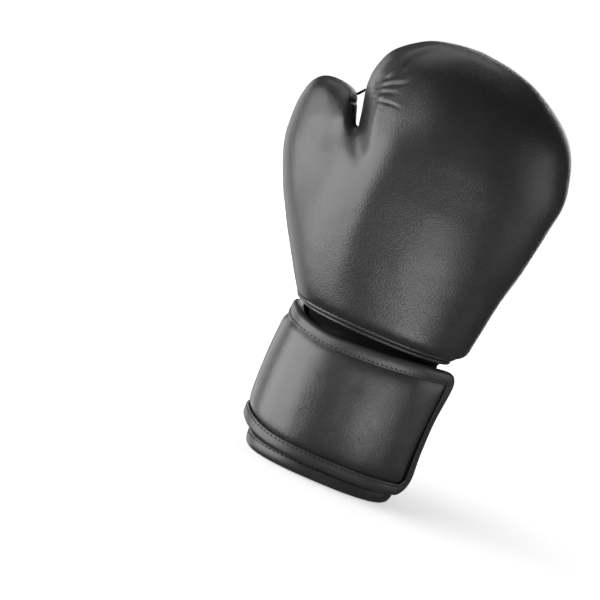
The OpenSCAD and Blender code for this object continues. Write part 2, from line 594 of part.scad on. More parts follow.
// Window that rounds the free end's corners, looking along the strap's normal there
module end_window(trim) {
    foot = oval(strap_out, strap_end_a);
    ahead = oval(strap_out, strap_end_a + 2) - oval(strap_out, strap_end_a - 2);
    r = strap_corner_r - trim;
    z0 = strap_z + trim;
    z1 = strap_top - trim;
    corners = concat([[-250, z0]], [for (a = [-90:15:0]) [r*cos(a) - r - trim, z0 + r + r*sin(a)]],
        [for (a = [0:15:90]) [r*cos(a) - r - trim, z1 - r + r*sin(a)]], [[-250, z1]]);
    translate([foot[0], foot[1], 0]) rotate([0, 0, atan2(ahead[1], ahead[0])]) rotate([90, 0, 0])
        translate([0, 0, -150]) linear_extrude(300) polygon(corners);
}

module strap_layer(off0, off1, a0, a1, trim) {
    band(off0, off1, a0, a1, strap_z + trim, strap_top - trim);
}

// Angle that a length of the strap's outer face takes up near an angle
function turn(a, l) = l/norm(oval(strap_out, a + 0.5) - oval(strap_out, a - 0.5));
palm_a0 = strap_root_a + turn(strap_root_a, move_gap);
fold_gap = asin(pow(move_gap/2/(cuff_d + strap_in - bind_t), 1/square));
palm_a1 = 180 - fold_gap;
back_a0 = 180 + fold_gap;
trim_in = bind_t + move_gap;

// Binding channel along both long edges and one end of a strap half
module strap_binding(a0, a1, at_start) {
    w0 = at_start ? a0 + turn(a0, strap_bind_w) : a0 - 5;
    w1 = at_start ? a1 + 5 : a1 - turn(a1, strap_bind_w);
    c0 = at_start ? a0 + turn(a0, bind_t) : a0 - 5;
    c1 = at_start ? a1 + 5 : a1 - turn(a1, bind_t);
    difference() {
        band(strap_in - bind_t, strap_out + bind_t, a0, a1, strap_z, strap_top);
        band(strap_in - bind_t - 1, strap_out + bind_t + 1, w0, w1, strap_z + strap_bind_w,
            strap_top - strap_bind_w);
        band(strap_in - 0.1, strap_out + 0.1, c0, c1, strap_z + bind_t, strap_top - bind_t);
    }
}

module strap_root_tab() {
    color([0.06, 0.06, 0.06])
        band(move_gap, strap_out, strap_root_a - turn(strap_root_a, 16), strap_root_a, strap_z, strap_top);
}

module strap_palm_panel() {
    color([0.04, 0.04, 0.045])
        strap_layer(strap_out - 1.4, strap_out, palm_a0 + turn(palm_a0, trim_in), palm_a1, trim_in);
}

module strap_palm_pad() {
    color([0.74, 0.71, 0.6])
        strap_layer(strap_in + 1, strap_out - 1.4, palm_a0 + turn(palm_a0, trim_in), palm_a1, trim_in);
}

module strap_palm_lining() {
    color([0.2, 0.2, 0.21])
        strap_layer(strap_in, strap_in + 1, palm_a0 + turn(palm_a0, trim_in), palm_a1, trim_in);
}

module strap_palm_binding() {
    color([0.05, 0.05, 0.05]) strap_binding(palm_a0, palm_a1, true);
}

module strap_back_panel() {
    color([0.04, 0.04, 0.045]) intersection() {
        strap_layer(strap_out - 1.4, strap_out, back_a0, strap_end_a, trim_in);
        end_window(trim_in);
    }
}

module strap_back_pad() {
    color([0.74, 0.71, 0.6]) intersection() {
        strap_layer(strap_in + 1, strap_out - 1.4, back_a0, strap_end_a, trim_in);
        end_window(trim_in);
    }
}

module strap_back_lining() {
    color([0.2, 0.2, 0.21]) intersection() {
        strap_layer(strap_in, strap_in + 1, back_a0, strap_end_a, trim_in);
        end_window(trim_in);
    }
}

module strap_back_binding() {
    color([0.05, 0.05, 0.05]) difference() {
        intersection() {
            band(strap_in - bind_t, strap_out + bind_t, back_a0, strap_end_a, strap_z, strap_top);
            end_window(0);
        }
        intersection() {
            band(strap_in - bind_t - 1, strap_out + bind_t + 1, back_a0 - 5, strap_end_a + 5, strap_z,
                strap_top);
            end_window(strap_bind_w);
        }
        intersection() {
            band(strap_in - 0.1, strap_out + 0.1, back_a0 - 5, strap_end_a + 5, strap_z, strap_top);
            end_window(bind_t);
        }
    }
}

module hook_patch() {
    color([0.12, 0.12, 0.12])
        band(strap_in - move_gap - tape_t, strap_in - move_gap, strap_end_a - turn(strap_end_a, 58),
            strap_end_a - turn(strap_end_a, strap_bind_w + 3), strap_z + strap_bind_w + 3,
            strap_top - strap_bind_w - 3);
}

back_shell();
palm_panel();
thumb_inner_panel();
thumb_side_gusset();
little_side_gusset();
slot_patch();
slot_piping();
finger_roll();
back_foam();
knuckle_foam();
thumb_foam();
palm_foam();
hand_lining();
thumb_lining();
grip_bar();
thumb_tie();
vent_eyelets();
wrist_piping();
cuff_shell();
cuff_foam();
cuff_lining();
cuff_binding();
loop_patch();
strap_root_tab();
strap_palm_panel();
strap_palm_pad();
strap_palm_lining();
strap_palm_binding();
strap_back_panel();
strap_back_pad();
strap_back_lining();
strap_back_binding();
hook_patch();
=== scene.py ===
import bpy
import numpy as np
from mathutils import Matrix, Vector, noise
from mathutils.bvhtree import BVHTree


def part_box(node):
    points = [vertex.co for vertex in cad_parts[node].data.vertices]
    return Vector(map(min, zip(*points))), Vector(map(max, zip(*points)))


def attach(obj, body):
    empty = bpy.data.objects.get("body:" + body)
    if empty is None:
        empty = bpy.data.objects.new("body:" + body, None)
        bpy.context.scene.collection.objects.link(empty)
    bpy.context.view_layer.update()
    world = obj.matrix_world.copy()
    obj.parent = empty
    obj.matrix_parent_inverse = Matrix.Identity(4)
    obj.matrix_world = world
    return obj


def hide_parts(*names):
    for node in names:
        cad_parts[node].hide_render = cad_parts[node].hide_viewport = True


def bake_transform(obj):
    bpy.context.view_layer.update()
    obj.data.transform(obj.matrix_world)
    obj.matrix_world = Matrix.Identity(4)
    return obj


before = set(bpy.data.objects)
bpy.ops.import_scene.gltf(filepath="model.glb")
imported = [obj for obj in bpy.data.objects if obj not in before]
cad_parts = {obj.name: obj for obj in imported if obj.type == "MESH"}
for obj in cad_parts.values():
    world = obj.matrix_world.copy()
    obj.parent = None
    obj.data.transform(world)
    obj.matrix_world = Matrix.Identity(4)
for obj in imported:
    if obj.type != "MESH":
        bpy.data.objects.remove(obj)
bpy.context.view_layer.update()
bpy.ops.object.select_all(action="DESELECT")

# Hand lining and thumb lining: knitted polyester pockets, the innermost layer of the glove, cut from
# two panels and sewn into the wrist seam. They keep the shape that the foam round them gives.
MM = 0.001
TURN = 2*np.pi
LINING_PITCH = 0.9


class Shade:
    """A socket of a material, so that sums in a shader are written as plain sums."""

    def __init__(self, tree, socket=None):
        self.tree, self.socket = tree, socket

    def node(self, kind, settings=None, out=0, **sockets):
        """A new node; its sockets go by name, or by number after an underscore."""
        made = self.tree.nodes.new(kind)
        for key, value in (settings or {}).items():
            setattr(made, key, value)
        for key, value in sockets.items():
            socket = made.inputs[int(key[1:]) if key[0] == "_" else key]
            if isinstance(value, Shade):
                self.tree.links.new(value.socket, socket)
            else:
                socket.default_value = value
        return Shade(self.tree, made.outputs[out])

    def sum(self, operation, a, b):
        return self.node("ShaderNodeMath", {"operation": operation}, _0=a, _1=b)

    def __add__(self, other):
        return self.sum("ADD", self, other)

    def __radd__(self, other):
        return self.sum("ADD", other, self)

    def __sub__(self, other):
        return self.sum("SUBTRACT", self, other)

    def __rsub__(self, other):
        return self.sum("SUBTRACT", other, self)

    def __mul__(self, other):
        return self.sum("MULTIPLY", self, other)

    def __rmul__(self, other):
        return self.sum("MULTIPLY", other, self)

    def feed(self, shader, socket):
        self.tree.links.new(self.socket, shader.inputs[socket])


def new_finish(name, roughness, specular=0.5, sheen=0.0):
    """A new material with its shader, and the place on the piece that its patterns start from."""
    material = bpy.data.materials.new(name)
    material.use_nodes = True
    shader = material.node_tree.nodes["Principled BSDF"]
    shader.inputs["Roughness"].default_value = roughness
    shader.inputs["Specular IOR Level"].default_value = specular
    shader.inputs["Sheen Weight"].default_value = sheen
    return material, shader, Shade(material.node_tree).node("ShaderNodeTexCoord", out="Object")


def grey(level, blue=0.001):
    """A dark grey with a trace of blue."""
    return level, level, level + blue


def tinted(share, shader, first, second):
    """Colours a surface from first to second as share runs from 0 to 1."""
    share.node("ShaderNodeMix", {"data_type": "RGBA"}, out=2, _0=share, _6=(*first, 1),
               _7=(*second, 1)).feed(shader, "Base Color")


def embossed(height, shader, strength, depth_mm, **settings):
    height.node("ShaderNodeBump", settings, Height=height, Strength=strength,
                Distance=depth_mm*MM).feed(shader, "Normal")


def clouds(place, scale, detail, **sockets):
    return place.node("ShaderNodeTexNoise", Vector=place, Scale=scale, Detail=detail, **sockets)


def knit(name, dark, light, pitch_mm):
    """Fine knitted lining cloth: rows of loops with a soft sheen."""
    material, shader, place = new_finish(name, roughness=0.85, specular=0.25, sheen=0.3)
    bands_at_scale_1 = 20/TURN
    rows, wales = [place.node("ShaderNodeTexWave", {"wave_type": "BANDS", "bands_direction": axis}, out=1,
                              Vector=place, Scale=1/(pitch_mm*MM)/bands_at_scale_1, Distortion=uneven)
                   for axis, uneven in (("Z", 0.0), ("X", 0.6))]
    loops = rows*wales
    tinted(loops*0.6 + clouds(place, 60.0, 3.0)*0.4, shader, dark, light)
    embossed(loops, shader, strength=0.5, depth_mm=0.4)
    return material


def take_up(piece):
    bpy.ops.object.select_all(action="DESELECT")
    piece.select_set(True)
    bpy.context.view_layer.objects.active = piece


def changed(piece, kind, **settings):
    """Puts a modifier on a piece and applies it."""
    take_up(piece)
    bpy.ops.object.modifier_add(type=kind)
    for key, value in settings.items():
        setattr(piece.modifiers[0], key, value)
    bpy.ops.object.modifier_apply(modifier=piece.modifiers[0].name)


def dressed(piece, material, body, slot, *nodes):
    """Gives a piece its finish, the body it moves with and the solids it stands for."""
    piece.data.materials.clear()
    piece.data.materials.append(material)
    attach(piece, body)
    if nodes:
        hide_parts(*nodes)


lining_cloth = knit("lining_knit", grey(0.012), grey(0.05, 0.003), LINING_PITCH)
for name, node in (("lining_of_hand", "hand_lining"), ("lining_of_thumb", "thumb_lining")):
    pocket = bpy.data.objects.new(name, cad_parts[node].data.copy())
    bpy.context.collection.objects.link(pocket)
    take_up(pocket)
    bpy.ops.object.mode_set(mode="EDIT")
    bpy.ops.mesh.select_all(action="SELECT")
    bpy.ops.mesh.remove_doubles(threshold=0.02*MM)
    bpy.ops.mesh.tris_convert_to_quads()
    bpy.ops.object.mode_set(mode="OBJECT")
    changed(pocket, "SUBSURF", levels=1)
    bpy.ops.object.shade_smooth()
    dressed(pocket, lining_cloth, "glove", "lining_fabric", node)

# Grip bar: a firm foam rod in a cloth sleeve, sewn across the palm inside the lining for the fingers
# to close on. Its ends are gathered and rounded.
SLEEVE_PITCH, SLEEVE_ROUND = 1.3, 4.5
bar_low, bar_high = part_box("grip_bar")
bpy.ops.object.select_all(action="DESELECT")
bpy.ops.mesh.primitive_cylinder_add(
    vertices=40, radius=(bar_high.z - bar_low.z)/2, depth=bar_high.x - bar_low.x,
    location=(bar_low + bar_high)/2, rotation=(0, np.pi/2, 0))
grip = bpy.context.object
grip.name = "grip_bar_sleeve"
bpy.ops.object.transform_apply(location=True, rotation=True, scale=True)
changed(grip, "BEVEL", width=SLEEVE_ROUND*MM, segments=5)
bpy.ops.object.shade_smooth()
sleeve_cloth = knit("grip_sleeve", grey(0.02), grey(0.07, 0.002), SLEEVE_PITCH)
dressed(grip, sleeve_cloth, "glove", "lining_fabric", "grip_bar")

# Outer leather of the hand: black polyurethane leather on foam, one large back shell that wraps the
# fist and the thumb, with a palm panel, an inner thumb panel and two small gussets sewn edge to edge.
# The form is lofted once as a whole, blown up by a cloth simulation and then cut along its seams.
WRIST_Z, CROTCH_Z, TOP_Z = 100.0, 203.0, 285.0
WRIST_REACH, LITTLE_REACH, THUMB_SIDE_REACH, THUMB_REACH = 56.0, 77.0, 67.0, 104.0
WRIST_DEPTH, KNUCKLE_DEPTH, PALM_DEPTH, NOSE_DEPTH = 46.0, 61.0, 38.0, 74.0
CROTCH_X, POLE_X, POLE_Y = -61.0, -8.0, 8.0
THUMB_X, THUMB_Y, THUMB_LEAN, THUMB_TIP_Z, THUMB_HALF_D = -86.0, 16.0, 20.0, 235.0, 32.0
SLOT_X, SLOT_HALF, SLOT_TOP_Z = -5.0, 7.5, 140.0
SQUARE = 0.8
TRUNK_H = CROTCH_Z - WRIST_Z

# The net of the form: bands of columns between the seams, each FINE cells wide.
FINE = 6
LITTLE_COL, SLOT_COL, LEAF_COL, THUMB_COL, LAST_COL = 18, 22, 26, 29, 38
SEAM_COLS = np.array([0, 14, LITTLE_COL, SLOT_COL, SLOT_COL + 1, LEAF_COL, THUMB_COL, 33, LAST_COL])*FINE
WEB_CELLS, FIST_CELLS, RING_CELLS = 28, LEAF_COL*FINE, LAST_COL*FINE
THUMB_CELLS = RING_CELLS - FIST_CELLS
FIST_A, THUMB_A = 146, 120


def faired(knots, t):
    """Smooth curve through knots of a place and its value."""
    place = np.array([k[0] for k in knots], float)
    value = np.array([np.atleast_1d(k[1]) for k in knots], float)
    step = np.arange(len(place))
    low, high = np.maximum(step - 1, 0), np.minimum(step + 1, len(place) - 1)
    slope = (value[high] - value[low])/(place[high] - place[low])[:, None]
    t = np.asarray(t, float)
    i = np.clip(np.searchsorted(place, t) - 1, 0, len(place) - 2)
    h = (place[i + 1] - place[i])[..., None]
    f = (t - place[i])[..., None]/h
    g = 1 - f
    out = value[i]*(1 + 2*f)*g*g + slope[i]*h*f*g*g + value[i + 1]*f*f*(3 - 2*f) - slope[i + 1]*h*f*f*g
    return out[..., 0] if out.shape[-1] == 1 else out


def eased(x):
    """Soft step from 0 to 1."""
    x = np.clip(x, 0, 1)
    return x*x*(3 - 2*x)


def bell(x, width):
    return np.exp(-(x/width)**2)


def rounded(c, power):
    return np.sign(c)*np.abs(c)**power


def widths(t):
    """Middle and half width of the hand at a share of the way from wrist seam to crotch."""
    little = WRIST_REACH + (LITTLE_REACH - WRIST_REACH)*faired(
        [(0, -0.19), (0.05, 0.12), (0.14, 0.21), (0.43, 0.4), (0.64, 0.64), (1, 0.92)], t)
    thumb = WRIST_REACH + (THUMB_REACH - WRIST_REACH)*faired(
        [(0, -0.01), (0.17, 0.23), (0.33, 0.44), (0.59, 0.75), (0.84, 0.96), (1, 1)], t)
    return (little - thumb)/2, (little + thumb)/2


def hand_at(t, v):
    """Point of the hand between wrist seam and crotch, at an angle round it."""
    v = np.radians(v)
    middle, half = widths(t)
    back = WRIST_DEPTH + (KNUCKLE_DEPTH - WRIST_DEPTH)*faired(
        [(0, -0.27), (0.05, 0.07), (0.14, 0.23), (0.5, 0.66), (0.8, 0.95), (1, 1)], t)
    palm = faired([(0, 42), (0.08, 46), (0.2, 47), (0.5, 43.6), (0.8, 39.2), (1, PALM_DEPTH)], t)
    x = middle + half*rounded(np.cos(v), SQUARE)
    valley_x = CROTCH_X + 56*(1 - t)
    dip = eased((t - 0.86)/0.14)*bell(x - valley_x, 4)
    lift = eased((t - 0.7)/0.3)*bell(x - CROTCH_X, 10)
    slim = 1 - 0.14*t*eased((-58 - x)/30)
    palmward = np.sin(v) > 0
    depth = np.where(palmward, palm*(1 - 0.2*dip), back*(1 - 0.3*dip))*rounded(np.sin(v), SQUARE)
    lean = THUMB_LEAN*t*eased((-35 - x)/50)
    z = WRIST_Z + t*TRUNK_H + np.where(palmward, 3.0, 10.5)*lift
    return np.stack([x, depth*slim + lean, z], -1)


def angle_of(x, t):
    """Angle round the hand, on the palm, at which it has a given x."""
    middle, half = widths(np.asarray(t, float))
    return float(np.degrees(np.arccos(rounded(np.clip((x - middle)/half, -1, 1), 1/SQUARE))))


CROTCH_A = angle_of(CROTCH_X, 1.0)


def round_angles(t, column):
    """Angle of each grid column at height t: the seams lie on fixed columns."""
    little = float(faired([(0, 71), (0.58, 68), (0.75, 58), (0.9, 36), (1, 30)], t))
    leaf = float(faired([(0, 150), (0.3, 114), (0.6, 103), (0.85, 104), (1, 117)], t)) if t < 1 else CROTCH_A
    outer = float(faired([(0, 162), (0.1, 150), (0.4, 139), (0.7, 133), (1, 135)], t))
    slot = [angle_of(SLOT_X + way*SLOT_HALF, t) for way in (1, -1)]
    return np.interp(column, SEAM_COLS, [-CROTCH_A, 0, little, *slot, leaf, outer, 180, 360 - CROTCH_A])


def web_at(q):
    """Point of the web between thumb and fist, from the palm to the back."""
    first, last = hand_at(np.float64(1), CROTCH_A), hand_at(np.float64(1), -CROTCH_A)
    return first + (last - first)*np.asarray(q, float)[..., None]


def oblong(a, b, pole, s, v):
    """Point from two side profiles, as reach and height, at an angle round a pole."""
    power = SQUARE + (0.96 - SQUARE)*s
    c, d = np.cos(np.radians(v)), np.sin(np.radians(v))
    return np.stack([pole[0] + a[..., 0]*rounded(c, power), pole[1] + b[..., 0]*rounded(d, power),
                     a[..., 1]*c*c + b[..., 1]*d*d], -1)


def side(knots, reach, top, s):
    """Side profile of a dome over the crotch, as reach and height."""
    c = faired(knots, s)
    return np.stack([c[..., 0]*reach, CROTCH_Z + (top - CROTCH_Z)*c[..., 1]], -1)


def bearing(foot, pole, right, left, palm, back):
    """Angle of a point round a pole, and how many times the oblong's reach it stands out."""
    c, d = foot[..., 0] - pole[0], foot[..., 1] - pole[1]
    c = rounded(c/np.where(c > 0, right, left), 1/SQUARE)
    d = rounded(d/np.where(d > 0, palm, back), 1/SQUARE)
    return np.degrees(np.arctan2(d, c)), np.hypot(c, d)**SQUARE


def risen(foot, start, stands, final, turned, settled, sides, pole, top, s):
    """Point of a dome that leaves its foot where it stands and settles to its own oblong."""
    v = start + (final - start)*turned
    right, left, palm, back = sides
    a = np.where((np.cos(np.radians(v)) > 0)[..., None], right, left)
    b = np.where((np.sin(np.radians(v)) > 0)[..., None], palm, back)
    out = oblong(a, b, pole, s, v)
    share = (1 + (stands - 1)*(1 - settled))[..., None]
    out[..., :2] = pole + (out[..., :2] - pole)*share
    out[..., 2] += (foot[..., 2] - CROTCH_Z)*(top - out[..., 2])/(top - CROTCH_Z)
    return np.where((s <= 0)[..., None], foot, out)


def fist_at(column, s):
    """Point of the fist: columns run round it from the back of the crotch, s from crotch to top."""
    column, s = np.broadcast_arrays(np.asarray(column, float), np.asarray(s, float))
    ring = round_angles(1.0, np.minimum(column, FIST_CELLS))
    q = np.clip((column - FIST_CELLS)/WEB_CELLS, 0, 1)
    on_ring = column <= FIST_CELLS
    final = np.where(on_ring, ring*FIST_A/CROTCH_A, FIST_A + (360 - 2*FIST_A)*q)
    foot = np.where(on_ring[..., None], hand_at(np.ones_like(ring), ring), web_at(q))
    little_reach, thumb_reach = LITTLE_REACH - POLE_X, THUMB_SIDE_REACH + POLE_X
    back_reach = KNUCKLE_DEPTH + POLE_Y
    little = side([(0, (0.98, 0)), (0.12, (1, 0.13)), (0.25, (0.99, 0.27)), (0.42, (0.915, 0.53)),
                   (0.6, (0.765, 0.72)), (0.78, (0.49, 0.895)), (0.9, (0.26, 0.97)), (1, (0, 1))],
                  little_reach, TOP_Z, s)
    thumbward = side([(0, (0.9, 0)), (0.15, (0.95, 0.18)), (0.3, (1, 0.38)), (0.45, (0.975, 0.57)),
                      (0.6, (0.865, 0.745)), (0.78, (0.575, 0.91)), (0.9, (0.29, 0.975)), (1, (0, 1))],
                     thumb_reach, TOP_Z, s)
    back = side([(0, (1, 0)), (0.15, (1, 0.21)), (0.3, (0.965, 0.42)), (0.45, (0.87, 0.6)),
                 (0.6, (0.725, 0.755)), (0.78, (0.465, 0.905)), (0.9, (0.245, 0.97)), (1, (0, 1))],
                back_reach, TOP_Z, s)
    crease, nose = PALM_DEPTH - POLE_Y, NOSE_DEPTH - POLE_Y
    late = s**(1 + eased((-15 - foot[..., 0])/42) + 0.5*eased((foot[..., 0] - 32)/40))
    swell = nose - crease
    pad_reach = faired([(0, crease), (0.1, crease + 0.58*swell), (0.2, crease + 0.9*swell), (0.3, nose),
                        (0.45, 0.94*nose), (0.6, 0.78*nose), (0.78, 0.45*nose), (0.9, 0.2*nose), (1, 0)],
                       late + (s - late)*eased((s - 0.3)/0.3))
    pad_rise = faired([(0, 0), (0.1, 0.05), (0.2, 0.15), (0.3, 0.31), (0.45, 0.535), (0.6, 0.73), (0.78, 0.9),
                       (0.9, 0.97), (1, 1)], s)
    pad = np.stack([pad_reach, CROTCH_Z + (TOP_Z - CROTCH_Z)*pad_rise], -1)
    start, stands = bearing(foot, (POLE_X, POLE_Y), 0.98*little_reach, 0.9*thumb_reach, crease, back_reach)
    start = np.where(on_ring, start, start % 360)
    return risen(foot, start, stands, final, eased(s/0.5), eased(s/0.5), (little, thumbward, pad, back),
                 (POLE_X, POLE_Y), TOP_Z, s)


def thumb_at(column, s):
    """Point of the thumb: columns run round it from the palm side of the crotch, s up to its tip."""
    column, s = np.broadcast_arrays(np.asarray(column, float), np.asarray(s, float))
    ring = round_angles(1.0, np.minimum(column, THUMB_CELLS) + FIST_CELLS)
    q = np.clip((column - THUMB_CELLS)/WEB_CELLS, 0, 1)
    on_ring = column <= THUMB_CELLS
    final = np.where(on_ring, 180 + (ring - 180)*THUMB_A/(180 - CROTCH_A),
                     180 + THUMB_A + (360 - 2*THUMB_A)*q)
    foot = np.where(on_ring[..., None], hand_at(np.ones_like(ring), ring), web_at(1 - q))
    near_reach, far_reach = CROTCH_X - THUMB_X, THUMB_REACH + THUMB_X
    ball_reach, front_reach = THUMB_HALF_D, THUMB_HALF_D + 1
    outline = [(0, (1, 0)), (0.3, (0.97, 0.34)), (0.55, (0.84, 0.67)), (0.75, (0.6, 0.88)),
               (0.9, (0.32, 0.97)), (1, (0, 1))]
    inside = [(0, (1, 0)), (0.3, (0.84, 0.36)), (0.55, (0.74, 0.66)), (0.75, (0.62, 0.87)),
              (0.9, (0.36, 0.97)), (1, (0, 1))]
    nail = [(0, (1, 0)), (0.3, (0.98, 0.34)), (0.55, (0.87, 0.67)), (0.75, (0.65, 0.88)),
            (0.9, (0.36, 0.97)), (1, (0, 1))]
    sides = [side(knots, reach, THUMB_TIP_Z, s) for knots, reach in
             ((inside, near_reach), (outline, far_reach), (outline, ball_reach), (nail, front_reach))]
    start, stands = bearing(foot, (THUMB_X, THUMB_Y), near_reach, far_reach, ball_reach, front_reach)
    start = np.where(on_ring, start % 360, 360 + (start + 180) % 360 - 180)
    out = risen(foot, start, stands, final, eased(s/0.6), eased(s/0.95)**1.3, sides, (THUMB_X, THUMB_Y),
                THUMB_TIP_Z, s)
    x = out[..., 0]
    ahead = np.clip((THUMB_Y - out[..., 1])/THUMB_HALF_D, 0, 1)
    out[..., 0] += 4*ahead*eased(s/0.5)*np.clip((-67 - x)/20, 0, 1)*np.clip((x + THUMB_REACH)/10, 0, 1)
    return out


PANELS = ["back_leather", "palm_leather", "thumb_inner_leather", "thumb_gusset", "little_gusset", "slot"]
SLOT_T = (SLOT_TOP_Z - WRIST_Z)/TRUNK_H
trunk_t = np.concatenate([np.linspace(0, SLOT_T, 19), np.linspace(SLOT_T, 1, 30)[1:]])
points, quads, panel_of = [], [], []
for t in trunk_t:
    points += hand_at(np.full(RING_CELLS, t), round_angles(t, np.arange(RING_CELLS))).tolist()
top_row = (len(trunk_t) - 1)*RING_CELLS
web = list(range(len(points), len(points) + WEB_CELLS - 1))
points += web_at(np.arange(1, WEB_CELLS)/WEB_CELLS).tolist()


def lay(quad, panel):
    quads.append(quad)
    panel_of.append(PANELS.index(panel))


def lay_row(below, above, panel_at, height):
    """Quads between two rings of points."""
    for j in range(len(above)):
        n = (j + 1) % len(above)
        lay((below[j], below[n], above[n], above[j]), panel_at(j, height))


def trunk_panel(j, t):
    k = j//FINE
    if k == SLOT_COL and t <= SLOT_T + 1e-6:
        return "slot"
    if k < LITTLE_COL or k >= THUMB_COL:
        return "back_leather"
    return "palm_leather" if k < LEAF_COL else "thumb_inner_leather"


for i, t in enumerate(trunk_t[1:]):
    row = np.arange(RING_CELLS) + i*RING_CELLS
    lay_row(row.tolist(), (row + RING_CELLS).tolist(), trunk_panel, t)


def dome(ring, place, rows, last, panel_at):
    """Rows from a ring of the crotch up to share last, and a square patch over the top."""
    count = len(ring)
    below = ring
    for share in np.linspace(0, last, rows + 1)[1:]:
        row = list(range(len(points), len(points) + count))
        points.extend(place(np.arange(count), share).tolist())
        lay_row(below, row, panel_at, share)
        below = row
    side_cells = count//4
    grid = {}
    for i in range(side_cells + 1):
        for j in range(side_cells + 1):
            a, b = 2*i/side_cells - 1, 2*j/side_cells - 1
            r = max(abs(a), abs(b))
            if r < 1e-9:
                p = 0
            elif abs(a - r) < 1e-9:
                p = (b/r + 1)/2
            elif abs(b - r) < 1e-9:
                p = 1 + (1 - a/r)/2
            elif abs(a + r) < 1e-9:
                p = 2 + (1 - b/r)/2
            else:
                p = 3 + (a/r + 1)/2
            if r > 1 - 1e-9:
                grid[i, j] = below[int(round(p*side_cells)) % count]
            else:
                grid[i, j] = len(points)
                points.append(place(np.float64(p*side_cells % count), np.float64(1 - (1 - last)*r)).tolist())
    for i in range(side_cells):
        for j in range(side_cells):
            lay((grid[i, j], grid[i + 1, j], grid[i + 1, j + 1], grid[i, j + 1]), panel_at(-1, 1.0))


GUSSET_SHARE, INNER_SHARE = 0.1436, 0.5
LITTLE_GUSSET, THUMB_GUSSET = range(15, 20), range(24, 28)


def fist_panel(j, share):
    k = j//FINE if j < FIST_CELLS else LEAF_COL + (j - FIST_CELLS)*5//WEB_CELLS
    if share < GUSSET_SHARE and k in LITTLE_GUSSET:
        return "little_gusset"
    return "thumb_gusset" if share < GUSSET_SHARE and k in THUMB_GUSSET else "back_leather"


def thumb_panel(j, share):
    outside = (THUMB_COL - LEAF_COL)*FINE <= j < THUMB_CELLS
    return "back_leather" if outside or share > INNER_SHARE else "thumb_inner_leather"


fist_ring = [top_row + j for j in range(FIST_CELLS + 1)] + web
thumb_ring = [top_row + j for j in range(FIST_CELLS, RING_CELLS)] + [top_row] + web[::-1]
dome(fist_ring, fist_at, rows=42, last=0.75, panel_at=fist_panel)
dome(thumb_ring, thumb_at, rows=15, last=0.62, panel_at=thumb_panel)

SEAMS = {name: [i*RING_CELLS + column*FINE for i in range(len(trunk_t))]
         for name, column in (("little", LITTLE_COL), ("leaf", LEAF_COL), ("thumb", THUMB_COL))}
SEAMS["crease"] = [top_row + j for j in range(LITTLE_COL*FINE, FIST_CELLS + 1)]
SEAMS["hem"] = [j % RING_CELLS for j in range((SLOT_COL + 1)*FINE, SLOT_COL*FINE + RING_CELLS + 1)]


def made_mesh(name, places, faces):
    """A new piece from points in millimetres."""
    mesh = bpy.data.meshes.new(name)
    mesh.from_pydata((np.asarray(places)*MM).tolist(), [], faces)
    mesh.polygons.foreach_set("use_smooth", np.ones(len(mesh.polygons), bool))
    mesh.update()
    piece = bpy.data.objects.new(name, mesh)
    bpy.context.collection.objects.link(piece)
    return piece


def faces_out(piece):
    take_up(piece)
    bpy.ops.object.mode_set(mode="EDIT")
    bpy.ops.mesh.select_all(action="SELECT")
    bpy.ops.mesh.normals_make_consistent(inside=False)
    bpy.ops.object.mode_set(mode="OBJECT")


def values_of(items, name, width, kind=np.float32):
    """One value of each point, edge or face of a mesh, as rows of an array."""
    out = np.empty(len(items)*width, kind)
    items.foreach_get(name, out)
    return out.reshape(-1, width)


def places_of(mesh):
    return values_of(mesh.vertices, "co", 3).astype(float)/MM


def normals_of(mesh):
    return values_of(mesh.vertex_normals, "vector", 3).astype(float)


def set_places(mesh, places):
    mesh.vertices.foreach_set("co", (np.asarray(places)*MM).astype(np.float32).ravel())
    mesh.update()


form = made_mesh("hand_form", points, quads)
form.data.polygons.foreach_set("material_index", np.array(panel_of, np.int32))
faces_out(form)
edge_ends = values_of(form.data.edges, "vertices", 2, np.int32)
degree = np.bincount(edge_ends.ravel(), minlength=len(points)).astype(float)
labels = [set() for _ in points]
for quad, panel in zip(quads, panel_of):
    for v in quad:
        labels[v].add(panel)
on_hem = np.arange(len(points)) < RING_CELLS
held = np.array([len(s) > 1 for s in labels]) | on_hem


def relaxed(places, rounds, share, keep):
    """Evens out a net of points; those with keep of 1 stay."""
    for _ in range(rounds):
        total = np.zeros_like(places)
        np.add.at(total, edge_ends[:, 0], places[edge_ends[:, 1]])
        np.add.at(total, edge_ends[:, 1], places[edge_ends[:, 0]])
        places = places + (total/degree[:, None] - places)*(share*(1 - keep))[:, None]
    return places


rest = places_of(form.data)
x, y, z = rest.T
near_crotch = bell(z - CROTCH_Z, 12)*(0.25 + 0.75*eased((-22 - x)/22))
rest = relaxed(rest, rounds=5, share=0.5, keep=1 - near_crotch*(y < 22)*(~on_hem))
x, y, z = rest.T
beside_slit = bell(x + 63, 9)*bell(z - 206, 10) + bell(x + 76, 9)*bell(z - 224, 10)
rest = relaxed(rest, rounds=12, share=0.5, keep=1 - np.minimum(beside_slit, 1)*eased((4 - y)/10))
rest = relaxed(rest, rounds=6, share=0.12, keep=on_hem*1.0)
set_places(form.data, rest)

